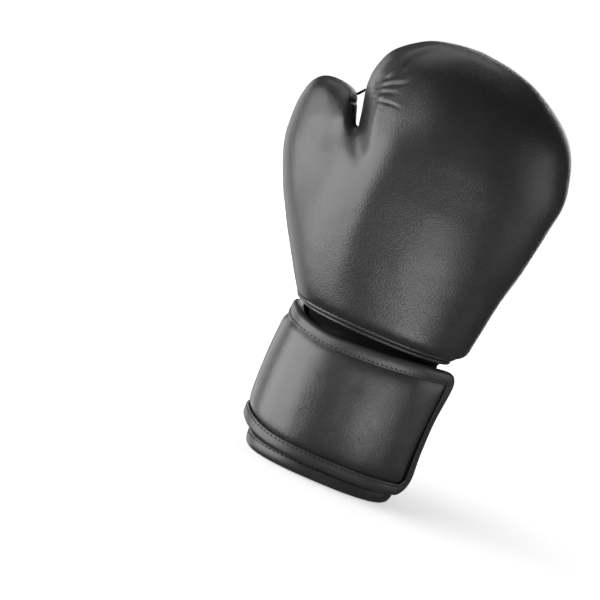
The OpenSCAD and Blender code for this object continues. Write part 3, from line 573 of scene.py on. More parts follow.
MOST_BLOWN, BLOW_FRAMES = 2.4, 14
sunk = np.where(held, 1.6, 0.8)
set_places(form.data, rest - normals_of(form.data)*sunk[:, None])
sewn = form.vertex_groups.new(name="sewn")
sewn.add(np.nonzero(held)[0].tolist(), 1.0, "REPLACE")
bpy.ops.object.modifier_add(type="CLOTH")
cloth = form.modifiers[0].settings
cloth.quality = 4
cloth.mass = 0.4
cloth.tension_stiffness = cloth.compression_stiffness = 30
cloth.shear_stiffness = 15
cloth.bending_stiffness = 8
cloth.use_pressure = True
cloth.uniform_pressure_force = 4
cloth.effector_weights.gravity = 0
cloth.vertex_group_mass = "sewn"
form.modifiers[0].collision_settings.use_collision = False
for number in range(1, BLOW_FRAMES + 1):
    bpy.context.scene.frame_set(number)
blown = places_of(form.evaluated_get(bpy.context.evaluated_depsgraph_get()).to_mesh())
bpy.ops.object.modifier_remove(modifier=form.modifiers[0].name)
bpy.context.scene.frame_set(1)
moved = blown - rest
length = np.linalg.norm(moved, axis=1)
moved *= np.minimum(1, MOST_BLOWN/np.maximum(length, 1e-9))[:, None]
set_places(form.data, relaxed(rest + moved, rounds=2, share=0.4, keep=held*1.0))
changed(form, "SUBSURF", levels=1)


def along(line):
    """Length run along a line of points, starting at 0."""
    return np.concatenate([[0], np.cumsum(np.linalg.norm(np.diff(line, axis=0), axis=1))])


def at_run(at, run, line):
    """Place on a line at a length along it."""
    return np.stack([np.interp(at, run, line[:, k]) for k in range(3)], -1)


def evened(line, step):
    """The same line with its points a step apart."""
    run = along(line)
    return at_run(np.linspace(0, run[-1], max(2, int(round(run[-1]/step)) + 1)), run, line)


def beside(places, line):
    """How far each place is from a line, and how far along it."""
    line = evened(line, 1.0)
    run = along(line)
    far, how_far = np.empty(len(places)), np.empty(len(places))
    batch = 4000
    for k in range(0, len(places), batch):
        d = np.linalg.norm(places[k:k + batch, None] - line[None], axis=2)
        best = d.argmin(1)
        far[k:k + batch] = d[np.arange(len(best)), best]
        how_far[k:k + batch] = run[best]
    return far, how_far


def wander(places, size, shift=0.0):
    """Soft unevenness between -1 and 1 of about one size."""
    return np.array([noise.noise(Vector((p[0]/size + shift, p[1]/size, p[2]/size))) for p in places])


def fan(places, centre, spokes, width):
    """Folds that run out from a point, seen from the front: each spoke is an angle, a depth and two ends."""
    dx, dz = places[:, 0] - centre[0], places[:, 2] - centre[1]
    far = np.hypot(dx, dz)
    turn = np.degrees(np.arctan2(dz, dx))
    out = np.zeros(len(places))
    for angle, depth, start, end in spokes:
        off = np.radians(turn - angle + 3*np.sin(far/5 + angle))*far
        fade = eased((far - start)/4)*(1 - eased((far - (end - 9))/9))
        out += depth*fade*(bell(off, width) - 0.3*bell(off - 2.2*width, width))
    return out


flat = places_of(form.data)
outward = normals_of(form.data)
x, y, z = flat.T
seam_places = {name: flat[line] for name, line in SEAMS.items()}
relief = 0.35*wander(flat, 34.0) + 0.12*wander(flat, 11.0, 7.0)

# Puckers beside each seam: how deep it is pulled, then the puckers' spacing, reach and depth.
for name, pull, spacing, reach, depth in [("little", 0.9, 7.0, 7.0, 0.35), ("leaf", 0.9, 8.0, 6.0, 0.25),
                                          ("thumb", 0.8, 5.6, 5.5, 0.5), ("crease", 0.8, 9.0, 8.0, 0.5)]:
    far, run = beside(flat, seam_places[name])
    wave = np.sin(TURN*run/spacing + 2.2*np.sin(run/13) + 1.3*np.sin(run/5.3))
    relief -= pull*bell(far, 1.7)
    relief += depth*wave*np.exp(-far/reach)*eased(far/2.5)

# Folds at the gap between thumb and fist, broad and fine on the fist and two on the thumb.
front = eased((14 - y)/10)
for centre, width, spokes in [
        ((-68.0, 232.0), 1.4, [(28, 0.4, 9, 27), (40, 0.8, 9, 34), (53, 0.8, 10, 38), (66, 0.5, 11, 31)]),
        ((-69.0, 229.0), 0.8, [(46, 0.4, 9, 25), (33, 0.5, 9, 24), (14, 0.55, 9, 31), (24, 0.25, 12, 22),
                               (2, 0.3, 10, 20), (-12, 0.25, 10, 21), (-27, 0.25, 10, 22)]),
        ((-69.0, 234.0), 0.8, [(166, 0.25, 8, 19), (184, 0.25, 7, 17)])]:
    relief -= fan(flat, centre, spokes, width)*front

# Creases across the palm: height, slope, swing and its phase, the two ends, depth and width.
palm_side = eased((y - 18)/10)
for z0, slope, swing, phase, x0, x1, depth, width in [(183, -0.12, 2.0, 0.0, -48, 36, 1.1, 1.9),
                                                      (175, 0.1, 1.6, 1.0, -46, 24, 0.9, 1.7),
                                                      (166, -0.05, 1.8, 2.4, -34, 30, 0.6, 2.2),
                                                      (159, 0.22, 1.2, 4.0, -44, -4, 0.6, 1.8),
                                                      (150, -0.3, 1.0, 0.6, 16, 38, 0.7, 1.8),
                                                      (128, 0.3, 1.0, 2.0, -44, -30, 0.6, 1.8)]:
    off = z - z0 - slope*(x - SLOT_X) - swing*np.sin(x/11 + phase)
    fade = palm_side*eased((x - x0)/10)*eased((x1 - x)/10)
    relief -= depth*fade*(bell(off, width) - 0.6*bell(off - 2.4*width, 1.6*width))

# Pleats on the little finger's side of the finger pad.
pad_side = eased((x - 48)/12)*eased((y - 5)/10)*bell(z - 226, 16)
relief += 0.8*pad_side*np.sin(TURN*(z + 0.35*x)/7.5 + 2*wander(flat, 18.0, 3.0))
set_places(form.data, flat + outward*relief[:, None])
skin_tree = BVHTree.FromPolygons([v.co for v in form.data.vertices], [p.vertices for p in form.data.polygons])


def grained(place, shader, grain_mm, relief_mm, coat):
    """Pebbled grain, drawn out sideways, under a satin coat. Gives back the pebbles."""
    shader.inputs["Coat Weight"].default_value = coat
    shader.inputs["Coat Roughness"].default_value = 0.28
    drawn = place.node("ShaderNodeVectorMath", {"operation": "MULTIPLY"}, _0=place, _1=(0.6, 0.6, 1.4))
    cells = place.node("ShaderNodeTexVoronoi", {"feature": "DISTANCE_TO_EDGE"}, Vector=drawn,
                       Scale=1000.0/grain_mm)
    pebble = place.sum("MINIMUM", cells*4.0, 1.0)
    embossed(pebble*0.7 + clouds(drawn, 2600.0/grain_mm, 2.0)*0.5, shader, 0.36, relief_mm)
    return pebble


def leather(name, dark, light, rough, grain_mm, relief_mm, coat):
    """Polyurethane leather: grained, with faint mottling of its colour and gloss."""
    material, shader, place = new_finish(name, rough)
    pebble = grained(place, shader, grain_mm, relief_mm, coat)
    mottle = clouds(place, 45.0, 5.0, Roughness=0.6)
    tinted(mottle*0.75 + pebble*0.25, shader, grey(dark), grey(light))
    (rough - 0.02 + mottle*0.06 - pebble*0.02).feed(shader, "Roughness")
    return material


shell_leather = leather(
    "shell_leather", dark=0.010, light=0.018, rough=0.34, grain_mm=1.3, relief_mm=0.26, coat=0.10)
palm_leather = leather(
    "palm_leather", dark=0.011, light=0.020, rough=0.31, grain_mm=1.2, relief_mm=0.20, coat=0.18)
SKIN_T = 1.6
STANDS_FOR = {
    "back_leather": ("back_shell", "back_foam", "knuckle_foam"),
    "palm_leather": ("palm_panel", "palm_foam"),
    "thumb_inner_leather": ("thumb_inner_panel", "thumb_foam"),
    "thumb_gusset": ("thumb_side_gusset",),
    "little_gusset": ("little_side_gusset",),
}
CUFF_HALF_W, CUFF_HALF_D = 48.5, 36.0
HEM_OFF, HEM_Z, SLOT_TURN_IN = 0.6, 99.9, 11.0


def oval(off, v):
    """Cuff outline grown by an offset, at angles in degrees."""
    c, d = np.cos(np.radians(v)), np.sin(np.radians(v))
    return np.stack([(CUFF_HALF_W + off)*rounded(c, SQUARE), (CUFF_HALF_D + off)*rounded(d, SQUARE)], -1)


def oval_angle(x, y, off):
    c, d = x/(CUFF_HALF_W + off), y/(CUFF_HALF_D + off)
    return np.degrees(np.arctan2(rounded(d, 1/SQUARE), rounded(c, 1/SQUARE)))


skin = places_of(form.data)
corners = values_of(form.data.polygons, "vertices", 4, np.int32)
panel_index = values_of(form.data.polygons, "material_index", 1, np.int32)[:, 0]
owners = {}
for face, (quad, following) in enumerate(zip(corners, np.roll(corners, -1, axis=1))):
    for a, b in zip(quad, following):
        owners.setdefault(frozenset((a, b)), []).append((face, a, b))
SLOT = PANELS.index("slot")
turned, extra_places, extra_quads = {}, [], {}


def turned_in(v, kind):
    """The place just inside the edge that a point of the edge is turned in to."""
    if (v, kind) not in turned:
        x, y, z = skin[v]
        turned[v, kind] = len(skin) + len(extra_places)
        extra_places.append([*oval(HEM_OFF, oval_angle(x, y, HEM_OFF)), HEM_Z] if kind == "hem"
                            else [x, y - SLOT_TURN_IN, z])
    return turned[v, kind]


for uses in owners.values():
    panels = [panel_index[face] for face, _, _ in uses]
    if len(uses) == 1 and panels[0] != SLOT:
        own, kind = 0, "hem"
    elif len(uses) == 2 and panels.count(SLOT) == 1:
        own, kind = 1 - panels.index(SLOT), "slot"
    else:
        continue
    _, a, b = uses[own]
    extra_quads.setdefault(panels[own], []).append((b, a, turned_in(a, kind), turned_in(b, kind)))
skin = np.concatenate([skin, extra_places])
for index, name in enumerate(PANELS[:-1]):
    extra = np.array(extra_quads.get(index, np.empty((0, 4))), np.int32)
    used, renumbered = np.unique(np.concatenate([corners[panel_index == index], extra]), return_inverse=True)
    panel = made_mesh(name, skin[used], renumbered.reshape(-1, 4).tolist())
    changed(panel, "SOLIDIFY", thickness=SKIN_T*MM, offset=-1)
    bpy.ops.object.shade_smooth_by_angle(angle=np.radians(55))
    finish, slot = (shell_leather, "shell_leather") if index == 0 else (palm_leather, "palm_leather")
    dressed(panel, finish, "glove", slot, *STANDS_FOR[name])
bpy.data.objects.remove(form)

# Slot patch: an arch of thin leather laid over the palm round the wrist slot, its edges pressed thin
# and sewn down with two rows of black thread.
PATCH_HALF, PATCH_TOP, PATCH_INNER_HALF, PATCH_INNER_TOP = 23.0, 154.0, 8.0, SLOT_TOP_Z + 0.5


def closed_loft(name, rings, loop=False):
    """Closed skin over rings of points; an open run is capped at both ends."""
    rings = np.asarray(rings, float)
    n, m = rings.shape[:2]
    faces = []
    for i in range(n if loop else n - 1):
        a, b = i*m, (i + 1) % n*m
        faces += [(a + k, a + (k + 1) % m, b + (k + 1) % m, b + k) for k in range(m)]
    if not loop:
        faces += [tuple(range(m))[::-1], tuple(range((n - 1)*m, n*m))]
    piece = made_mesh(name, rings.reshape(-1, 3), faces)
    faces_out(piece)
    bpy.ops.object.shade_smooth_by_angle(angle=np.radians(50))
    return piece


def palm_face(x, z, lift):
    """A place on the palm leather, seen straight on from the palm, and the way out of it there."""
    hit, normal, _, _ = skin_tree.ray_cast(Vector((x*MM, 0.2, z*MM)), Vector((0, -1, 0)))
    return np.array(hit)/MM + np.array(normal)*lift, np.array(normal)


def arch(f, half, top):
    """Place on an upside-down U round the slot, f from -1 at one foot to 1 at the other."""
    spring = SLOT_TOP_Z - 8
    if abs(f) > 0.5:
        return np.array([SLOT_X + np.sign(f)*half, spring + (WRIST_Z + 1.5 - spring)*(abs(f) - 0.5)*2])
    return np.array([SLOT_X + half*np.sin(np.pi*f), spring + (top - spring)*np.cos(np.pi*f)])


def patch_place(f, share, lift):
    """Place over the patch and the way out of it, at a share of the way from its inner to its outer edge."""
    inner, outer = arch(f, PATCH_INNER_HALF, PATCH_INNER_TOP), arch(f, PATCH_HALF, PATCH_TOP)
    return palm_face(*(inner + (outer - inner)*share), lift)


patch_section = [(0.0, -0.5), (0.0, 0.5), (0.03, 1.1), (0.08, 1.45), (0.16, 1.6), (0.35, 1.65), (0.55, 1.6),
                 (0.72, 1.4), (0.8, 1.15), (0.88, 1.3), (0.95, 1.05), (0.99, 0.6), (1.0, -0.4), (0.5, -0.6)]
trim_leather = leather(
    "trim_leather", dark=0.016, light=0.029, rough=0.39, grain_mm=0.9, relief_mm=0.16, coat=0.10)
patch = closed_loft("slot_patch_leather", [[patch_place(f, share, lift)[0] for share, lift in patch_section]
                                           for f in np.linspace(-1, 1, 97)])
dressed(patch, trim_leather, "glove", "palm_leather", "slot_patch")

# Slot piping: a leather roll on a soft core that edges the wrist slot and runs on down both edges of
# the cuff split.
PIPING_R, PIPING_SINK = 1.9, 2.1
PIPING_HALF = SLOT_HALF - PIPING_R - 0.6


def unit(rows):
    return rows/np.linalg.norm(rows, axis=-1, keepdims=True)


def tube_rings(path, radius, sides, seed=(0, 1, 0)):
    """Rings of a round tube along a line of points."""
    ahead = unit(np.gradient(path, axis=0))
    across = unit(np.cross(ahead, seed))
    up = np.cross(across, ahead)
    a = np.linspace(0, TURN, sides, endpoint=False)[None, :, None]
    return path[:, None] + (np.cos(a)*across[:, None] + np.sin(a)*up[:, None])*radius


def split_half(z):
    """Half the width of the split in the cuff, which widens to rounded corners at the bottom."""
    return SLOT_HALF + 6.5*(1 - np.clip(z/WRIST_Z, 0, 1))**1.4 + 5*np.exp(-z/5)


def split_mid(z):
    return SLOT_X*np.clip(z/WRIST_Z, 0, 1)


one_side = [(PIPING_HALF + split_half(z) - SLOT_HALF, CUFF_HALF_D - 2 - PIPING_R, z, split_mid(z))
            for z in (12.0, 30.0, 55.0, 80.0)]
one_side.append((PIPING_HALF, 35.2, WRIST_Z, SLOT_X))
one_side += [(PIPING_HALF, palm_face(SLOT_X, z, 0)[0][1] - PIPING_SINK, z, SLOT_X)
             for z in (112.0, 124.0, 132.0)]
crown_y = palm_face(SLOT_X, SLOT_TOP_Z, 0)[0][1] - PIPING_SINK
crown_z = SLOT_TOP_Z - SLOT_HALF
route = [(middle + half, y, z) for half, y, z, middle in one_side]
route += [(SLOT_X + PIPING_HALF*np.cos(a), crown_y, crown_z + PIPING_HALF*np.sin(a))
          for a in np.radians([25, 60, 90, 120, 155])]
route += [(middle - half, y, z) for half, y, z, middle in one_side[::-1]]
run = along(np.array(route))
route = faired(list(zip(run, route)), np.linspace(0, run[-1], 260))
piping = closed_loft("slot_piping_roll", tube_rings(route, PIPING_R, sides=14))
dressed(piping, trim_leather, "glove", "binding_tape", "slot_piping")

# Finger roll: a soft leather roll, gathered along the crease under the finger pad, that the fingertips
# press on. Its ends are drawn thin into the seam.
ROLL_R, ROLL_OFF, ROLL_END = 4.5, 0.8, 9.0
ROLL_T = 1 - (ROLL_R + 0.9)/TRUNK_H


def rounded_off(edge, reach, least):
    """Thickness that grows in a quarter round from least at an edge to 1 a reach inside it."""
    return least + (1 - least)*np.sqrt(1 - np.clip(1 - edge/reach, 0, 1)**2)


line = hand_at(np.full(150, ROLL_T), np.linspace(33, 103, 150))
line = line + unit(np.cross(np.gradient(line, axis=0), (0, 0, 1)))*(ROLL_OFF + ROLL_R)
run = along(line)
gathers = 0.35*np.sin(TURN*run/6.1 + 1.5*np.sin(run/7.0)) + 0.2*np.sin(TURN*run/3.7 + np.sin(run/4.0))
thick = rounded_off(np.minimum(run, run[-1] - run), ROLL_END, least=0.1)*(1 + gathers*0.09)
rings = tube_rings(line, ROLL_R, sides=28)
roll = closed_loft("finger_roll_leather", line[:, None] + (rings - line[:, None])*thick[:, None, None])
dressed(roll, palm_leather, "glove", "palm_leather", "finger_roll")

# Vent eyelets: four small rings of blackened brass, rolled flat on the outside and with a short barrel
# that is pressed through the leather in the middle of the palm.
EYELET_R, EYELET_ROLL, EYELET_BARREL, EYELET_LIFT = 1.8, 0.7, 0.4, 0.5
EYELET_PITCH, EYELETS_Z = 13.0, CROTCH_Z - 27


def blackened(name, tone, rough):
    """Brass blackened by a bath, worn unevenly."""
    material, shader, place = new_finish(name, rough)
    shader.inputs["Metallic"].default_value = 0.9
    wear = clouds(place, 900.0, 4.0)
    tinted(wear, shader, [0.6*t for t in tone], tone)
    (rough - 0.1 + wear*0.2).feed(shader, "Roughness")
    return material


bpy.ops.object.select_all(action="DESELECT")
bpy.ops.mesh.primitive_torus_add(major_radius=EYELET_R*MM, minor_radius=EYELET_ROLL*MM, major_segments=28,
                                 minor_segments=10)
pattern = bpy.context.object
bpy.ops.object.mode_set(mode="EDIT")
bpy.ops.mesh.select_mode(type="FACE")
bpy.ops.mesh.select_all(action="SELECT")
bpy.ops.transform.resize(value=(1, 1, 0.7))
bpy.ops.mesh.select_all(action="DESELECT")
bpy.ops.object.mode_set(mode="OBJECT")
for face in pattern.data.polygons:
    face.select = face.center.xy.length < 1.7*MM and face.center.z < -0.1*MM
bpy.ops.object.mode_set(mode="EDIT")
bpy.ops.mesh.extrude_region_move(TRANSFORM_OT_translate={"value": (0, 0, -EYELET_BARREL*MM)})
bpy.ops.object.mode_set(mode="OBJECT")
bpy.ops.object.shade_smooth()
eyelets = []
for right, up in [(0.5, 0.5), (-0.5, 0.5), (0.5, -0.5), (-0.5, -0.5)]:
    middle, out = palm_face(SLOT_X + EYELET_PITCH*right, EYELETS_Z + EYELET_PITCH*up, EYELET_LIFT)
    eyelet = bpy.data.objects.new("vent_eyelet_rings", pattern.data.copy())
    bpy.context.collection.objects.link(eyelet)
    take_up(eyelet)
    eyelet.location = middle*MM
    eyelet.rotation_euler = Vector(out).to_track_quat("Z", "Y").to_euler()
    bpy.ops.object.transform_apply(location=True, rotation=True, scale=True)
    eyelets.append(eyelet)
bpy.data.objects.remove(pattern)
take_up(eyelets[0])
for eyelet in eyelets:
    eyelet.select_set(True)
bpy.ops.object.join()
ring_brass = blackened("blackened_brass", grey(0.09, 0.005), rough=0.35)
dressed(eyelets[0], ring_brass, "glove", "cord", "vent_eyelets")

# Thumb tie: a short length of waxed black cord, stitched from the thumb's tip to the fist so that the
# thumb can't catch. Its two strands are twisted, and its ends run on into the leather.
STRAND_R, STRAND_SWING, TIE_TURNS, TIE_BURIED = 0.62, 0.5, 1.6, 0.12
tie_low, tie_high = [np.array(p)/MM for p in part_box("thumb_tie")]
tie_y = (tie_low[1] + tie_high[1])/2
tie_a = np.array([tie_low[0] + 0.4, tie_y, tie_low[2] + 0.8])
tie_b = np.array([tie_high[0] - 0.4, tie_y, tie_high[2] - 0.8])
f = np.linspace(-TIE_BURIED, 1 + TIE_BURIED, 60)[:, None]
strands = []
for phase in (0, np.pi):
    twist = f*TURN*TIE_TURNS + phase
    swing = np.concatenate([0*f, np.cos(twist), np.sin(twist)], 1)*STRAND_SWING
    strands.append(closed_loft("thumb_tie_cord", tube_rings(tie_a + (tie_b - tie_a)*f + swing, STRAND_R, 10)))
take_up(strands[0])
strands[1].select_set(True)
bpy.ops.object.join()


def waxed(name, tone):
    """Waxed thread: fine fibres, half dull."""
    material, shader, place = new_finish(name, roughness=0.5, specular=0.4)
    fibre = clouds(place, 1800.0, 3.0)
    tinted(fibre, shader, [0.5*t for t in tone], tone)
    embossed(fibre, shader, strength=0.4, depth_mm=0.2)
    return material


thread_finish = waxed("waxed_thread", grey(0.016))
dressed(strands[0], thread_finish, "glove", "cord", "thumb_tie")

# Stitching of the hand: bonded black thread in two rows beside the palm's seams, round the slot patch
# and under the finger roll, and in one row above the hem, all lying in the leather.
STITCH_PITCH, STITCH_L, STITCH_R, STITCH_LIFT, STITCH_DIP = 3.0, 2.3, 0.42, 0.12, 0.35


def beside_seam(line, shift):
    """A line moved sideways over the leather, with the way out of the leather along it."""
    line = evened(line, 1.5)
    places, out = [], []
    for p, ahead in zip(line, unit(np.gradient(line, axis=0))):
        _, n, _, _ = skin_tree.find_nearest(Vector(p*MM))
        hit, n, _, _ = skin_tree.find_nearest(Vector((p + np.cross(np.array(n), ahead)*shift)*MM))
        places.append(np.array(hit)/MM)
        out.append(np.array(n))
    return np.array(places), np.array(out)


def sewn_rows(name, rows):
    """One piece of thread from rows of stitches, each row as places and the way out of the leather there."""
    made, faces = [], []
    for places, out in rows:
        run = along(places)
        for at in (np.arange(int(run[-1]/STITCH_PITCH)) + 0.5)*STITCH_PITCH:
            ahead = unit(at_run(at + 0.8, run, places) - at_run(at - 0.8, run, places))
            n = at_run(at, run, out)
            n = unit(n - ahead*(n @ ahead))
            across = np.cross(n, ahead)
            middle = at_run(at, run, places) + n*STITCH_LIFT
            first = len(made)
            made.append(middle - ahead*STITCH_L/2 - n*STITCH_DIP)
            for shift in (-0.3, 0.3):
                made += [middle + ahead*shift*STITCH_L + (across*np.cos(a) + n*np.sin(a)*0.85)*STITCH_R
                         for a in np.arange(6)*TURN/6]
            made.append(middle + ahead*STITCH_L/2 - n*STITCH_DIP)
            for a in range(1, 7):
                b = a % 6 + 1
                faces += [(first, first + b, first + a), (first + a, first + b, first + 6 + b, first + 6 + a),
                          (first + 13, first + 6 + a, first + 6 + b)]
    piece = made_mesh(name, made, faces)
    faces_out(piece)
    piece.data.materials.append(thread_finish)
    return piece


rows = [beside_seam(seam, shift) for seam in (seam_places["little"], seam_places["leaf"][:-3])
        for shift in (-2.4, -4.9)]
for share, lift in ((0.8, 1.2), (0.62, 1.55)):
    places, out = zip(*[patch_place(f, share, lift) for f in np.linspace(-1, 1, 90)])
    rows.append((np.array(places), np.array(out)))
for drop in (6.2, 8.8):
    rows.append(beside_seam(hand_at(np.full(60, ROLL_T - drop/TRUNK_H), np.linspace(30, 104, 60)), 0.0))
rows.append(beside_seam(seam_places["hem"] + np.array([0, 0, 3.4]), 0.0))
dressed(sewn_rows("hand_stitching", rows), thread_finish, "glove", "cord")

# Hem and wrist piping: the hand's bottom edge is turned over a thin cord, and a second piped ring sits
# between hand and cuff, where the two are sewn together.
HEM_R, HEM_RISE, WRIST_R, WRIST_OFF, WRIST_RING_Z = 1.35, 0.4, 1.3, 0.9, 98.4


def cuff_place(off, v, z):
    """Place at an offset from the cuff's outline, an angle and a height."""
    off, v, z = np.broadcast_arrays(off, v, np.asarray(z, float))
    return np.concatenate([oval(off, v), z[..., None]], -1)


line = evened(seam_places["hem"], 2.0) + np.array([0, 0, HEM_RISE])
hem_roll = closed_loft("hem_roll", tube_rings(line, HEM_R, sides=12, seed=(0, 0, 1)))
dressed(hem_roll, trim_leather, "glove", "binding_tape")
first, last = [oval_angle(SLOT_X + x, 40.0, 1.8) for x in (7.6, -7.6)]
line = cuff_place(WRIST_OFF, np.linspace(first, last - 360, 220), WRIST_RING_Z)
wrist_ring = closed_loft("wrist_piping_roll", tube_rings(line, WRIST_R, sides=12, seed=(0, 0, 1)))
dressed(wrist_ring, trim_leather, "glove", "binding_tape", "wrist_piping")

# Cuff: a band of leather over thin foam with a knitted lining, open at the palm in a split whose lower
# corners are rounded. It is sewn to the hand under the wrist piping, and its drawn-in neck is rougher and
# painted darker, as painted shade.
CUFF_LOW, CUFF_TOP, CUFF_ROUND, CUFF_INSIDE = 1.6, 99.7, 265.0, -6.6
NECK_Z, NECK_IN, SHADE_AND_DULL_Z = 92.0, 4.4, 80.0
CLOTH_OUT, CLOTH_IN = -7.3, -8.3
BLUNT_SHARE = 0.016


def split_angles(z):
    """Angles of the two edges of the split at heights z."""
    return [np.degrees(np.arccos(rounded((split_mid(z) + way*split_half(z))/CUFF_HALF_W, 1/SQUARE)))
            for way in (1, -1)]


def cuff_rings(section, steps, blunt=0.0):
    """Rings of an open band round the cuff, from one edge of the split to the other."""
    off, z = np.array(section, float).T
    first, last = split_angles(z)
    middle = (off.max() + off.min())/2
    rings = []
    for f in steps:
        share = rounded_off(min(f, 1 - f)*CUFF_ROUND, blunt, least=0.35) if blunt else 1.0
        rings.append(cuff_place(middle + (off - middle)*share, first + (last - 360 - first)*f, z))
    return rings


edge_steps = np.linspace(0, BLUNT_SHARE, 7)
edge_steps = np.concatenate([edge_steps[:-1], np.linspace(BLUNT_SHARE, 1 - BLUNT_SHARE, 170),
                             1 - edge_steps[-2::-1]])
levels = np.linspace(CUFF_LOW, CUFF_TOP, 30)
puff = 0.5*np.sin(np.pi*np.clip((levels - 9)/88, 0, 1))**0.6 - NECK_IN*bell(levels - NECK_Z, 6)
section = list(zip(puff - 0.5, levels)) + [(CUFF_INSIDE, z) for z in levels[::-1]]
cuff = closed_loft("cuff_leather", cuff_rings(section, edge_steps, blunt=3.5))
cuff_finish, shader, place = new_finish("cuff_leather", roughness=0.34, specular=0.2)
grained(place, shader, grain_mm=1.2, relief_mm=0.20, coat=0.05)
# Above 80 mm the leather turns rougher, and its colour is painted darker as painted shade in the crevice
# under the hem.
height = place.node("ShaderNodeSeparateXYZ", out="Z", Vector=place)
shade_and_dull = place.sum("MINIMUM", place.sum("MAXIMUM", (height - SHADE_AND_DULL_Z*MM)*120.0, 0.0), 1.0)
tinted(shade_and_dull, shader, grey(0.012), grey(0.003, 0.0))
(0.34 + shade_and_dull*0.6).feed(shader, "Roughness")
dressed(cuff, cuff_finish, "glove", "shell_leather", "cuff_shell", "cuff_foam")
section = [(CLOTH_OUT, z) for z in levels] + [(CLOTH_IN, z) for z in levels[::-1]]
cuff_cloth = closed_loft("cuff_lining_cloth", cuff_rings(section, np.linspace(0, 1, 170)))
dressed(cuff_cloth, lining_cloth, "glove", "lining_fabric", "cuff_lining")

# Cuff binding: a folded strip of softer leather that wraps the cuff's bottom edge as a full roll,
# caught by one row of stitches near its upper edge.
ROW_OFF, ROW_Z, ROW_LEAN = 1.4, 7.6, 0.45


def cuff_out(v, lean=0.0):
    """The way out of the cuff at an angle, leaning up by a share."""
    return unit(cuff_place(1.0, v, lean) - cuff_place(0.0, v, 0.0))


roll_section = [(0.15, 9.0), (0.5, 9.3), (0.9, 9.0), (1.3, 8.1), (1.6, 6.6), (1.6, 4.9), (1.2, 3.2),
                (0.4, 1.5), (-0.9, 0.4), (-3, 0.05), (-6.5, 0.05), (-8.8, 0.5), (-10.0, 1.8), (-10.4, 3.8),
                (-10.2, 6.4), (-9.6, 8.6), (-9.0, 9.1), (-8.5, 8.8), (-8.5, 1.4), (0.1, 1.4)]
cuff_roll = closed_loft("cuff_binding_roll", cuff_rings(roll_section, edge_steps, blunt=4.0))


def rumpled(piece, bumps):
    """Moves a piece's skin in and out by bumps in millimetres."""
    places = places_of(piece.data)
    set_places(piece.data, places + normals_of(piece.data)*bumps(places)[:, None])


rumpled(cuff_roll, lambda places: 0.25*wander(places, 17.0, 5.0)*np.clip((places[:, 2] - 0.5)/2, 0, 1))
dressed(cuff_roll, trim_leather, "glove", "binding_tape", "cuff_binding")
first, last = split_angles(7.4)
v = np.linspace(first - 3, last - 357, 320)
cuff_stitching = sewn_rows("cuff_stitching", [(cuff_place(ROW_OFF, v, ROW_Z), cuff_out(v, ROW_LEAN))])
dressed(cuff_stitching, thread_finish, "glove", "cord")

# Loop and hook patches: the soft half of a touch fastener on the cuff's back, the stiff half inside
# the strap's free end. Both are flat tape, sewn on round the edge.


def fastener(name, dark, light, pitch_mm, rough, depth_mm):
    """Tape with a pile of small tufts."""
    material, shader, place = new_finish(name, rough, specular=0.2, sheen=0.25)
    tufts = place.node("ShaderNodeTexVoronoi", Vector=place, Scale=1000.0/pitch_mm)
    fuzz = clouds(place, 700.0, 4.0)
    tinted(tufts*0.7 + fuzz*0.4, shader, light, dark)
    embossed(tufts + fuzz*0.5, shader, 0.8, depth_mm, invert=True)
    return material


loop_pile = fastener("loop_pile", grey(0.008, 0.0), grey(0.035), pitch_mm=0.9, rough=0.95, depth_mm=0.6)
hook_tape = fastener("hook_tape", grey(0.012, 0.0), grey(0.05, 0.0), pitch_mm=1.4, rough=0.6, depth_mm=0.9)
for node, finish in (("loop_patch", loop_pile), ("hook_patch", hook_tape)):
    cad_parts[node].data.materials.clear()
    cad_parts[node].data.materials.append(finish)

# Strap root: the end of the strap, folded into a flat block of leather and sewn to the cuff with a
# boxed row of stitches.
STRAP_OUT, STRAP_LOW, STRAP_TOP, ROOT_A = 8.3, 10.0, 95.0, 62.0
ROOT_LENGTH, ROOT_T, ROOT_SOFT, ROOT_LEAST = 16.0, 7.6, 2.5, 0.25
ROOT_BOX = np.array([(0.12, 14.0), (0.12, 91.0), (0.48, 91.0), (0.48, 14.0), (0.12, 14.0)])
root_turn = ROOT_LENGTH/np.linalg.norm(oval(STRAP_OUT, ROOT_A + 0.5) - oval(STRAP_OUT, ROOT_A - 0.5))
rings = []
for f in np.linspace(0, 1, 30):
    slim = rounded_off(min(f, 1 - f)*ROOT_LENGTH, ROOT_SOFT, ROOT_LEAST)
    z = np.linspace(STRAP_LOW + 1.2*(1 - slim), STRAP_TOP - 1.2*(1 - slim), 40)
    crown = rounded_off(np.minimum(z - z[0], z[-1] - z), ROOT_SOFT, ROOT_LEAST)
    v = ROOT_A - root_turn*(1 - f)
    rings.append(np.concatenate([cuff_place(0.5 + ROOT_T*np.minimum(crown, slim), v, z),
                                 cuff_place(0.35, v, z[::-1])]))
root = closed_loft("strap_root_leather", rings)
dressed(root, trim_leather, "glove", "binding_tape", "strap_root_tab")
f, z = [np.interp(np.linspace(0, 4, 97), range(5), column) for column in ROOT_BOX.T]
v = ROOT_A - root_turn*(1 - f)
root_stitching = sewn_rows("root_stitching", [(cuff_place(0.5 + ROOT_T, v, z), cuff_out(v))])
dressed(root_stitching, thread_finish, "glove", "cord")

# Root strip: a strip of leather sewn over the joint of root and strap. The strap turns on it when it is
# lifted, so one long edge stays on the root and the other follows the strap.
STRIP_HALF, STRIP_LOW, STRIP_TOP, STRIP_T, STRIP_SOFT = 7.2, 22.0, 85.0, 1.0, 0.9
STRIP_ROW, JOINT_OFF, JOINT_HALF, JOINT_Z = 4.6, 9.6, 1.5, 50.0


def strip_angle(s):
    return ROOT_A + root_turn*s/ROOT_LENGTH


def strip_place(s, z, over):
    """A place on the strip from its distance past the joint, its height and its lift off what it covers."""
    return cuff_place(STRAP_OUT + 1.5*eased((s + 4)/4) + over, strip_angle(s), z)


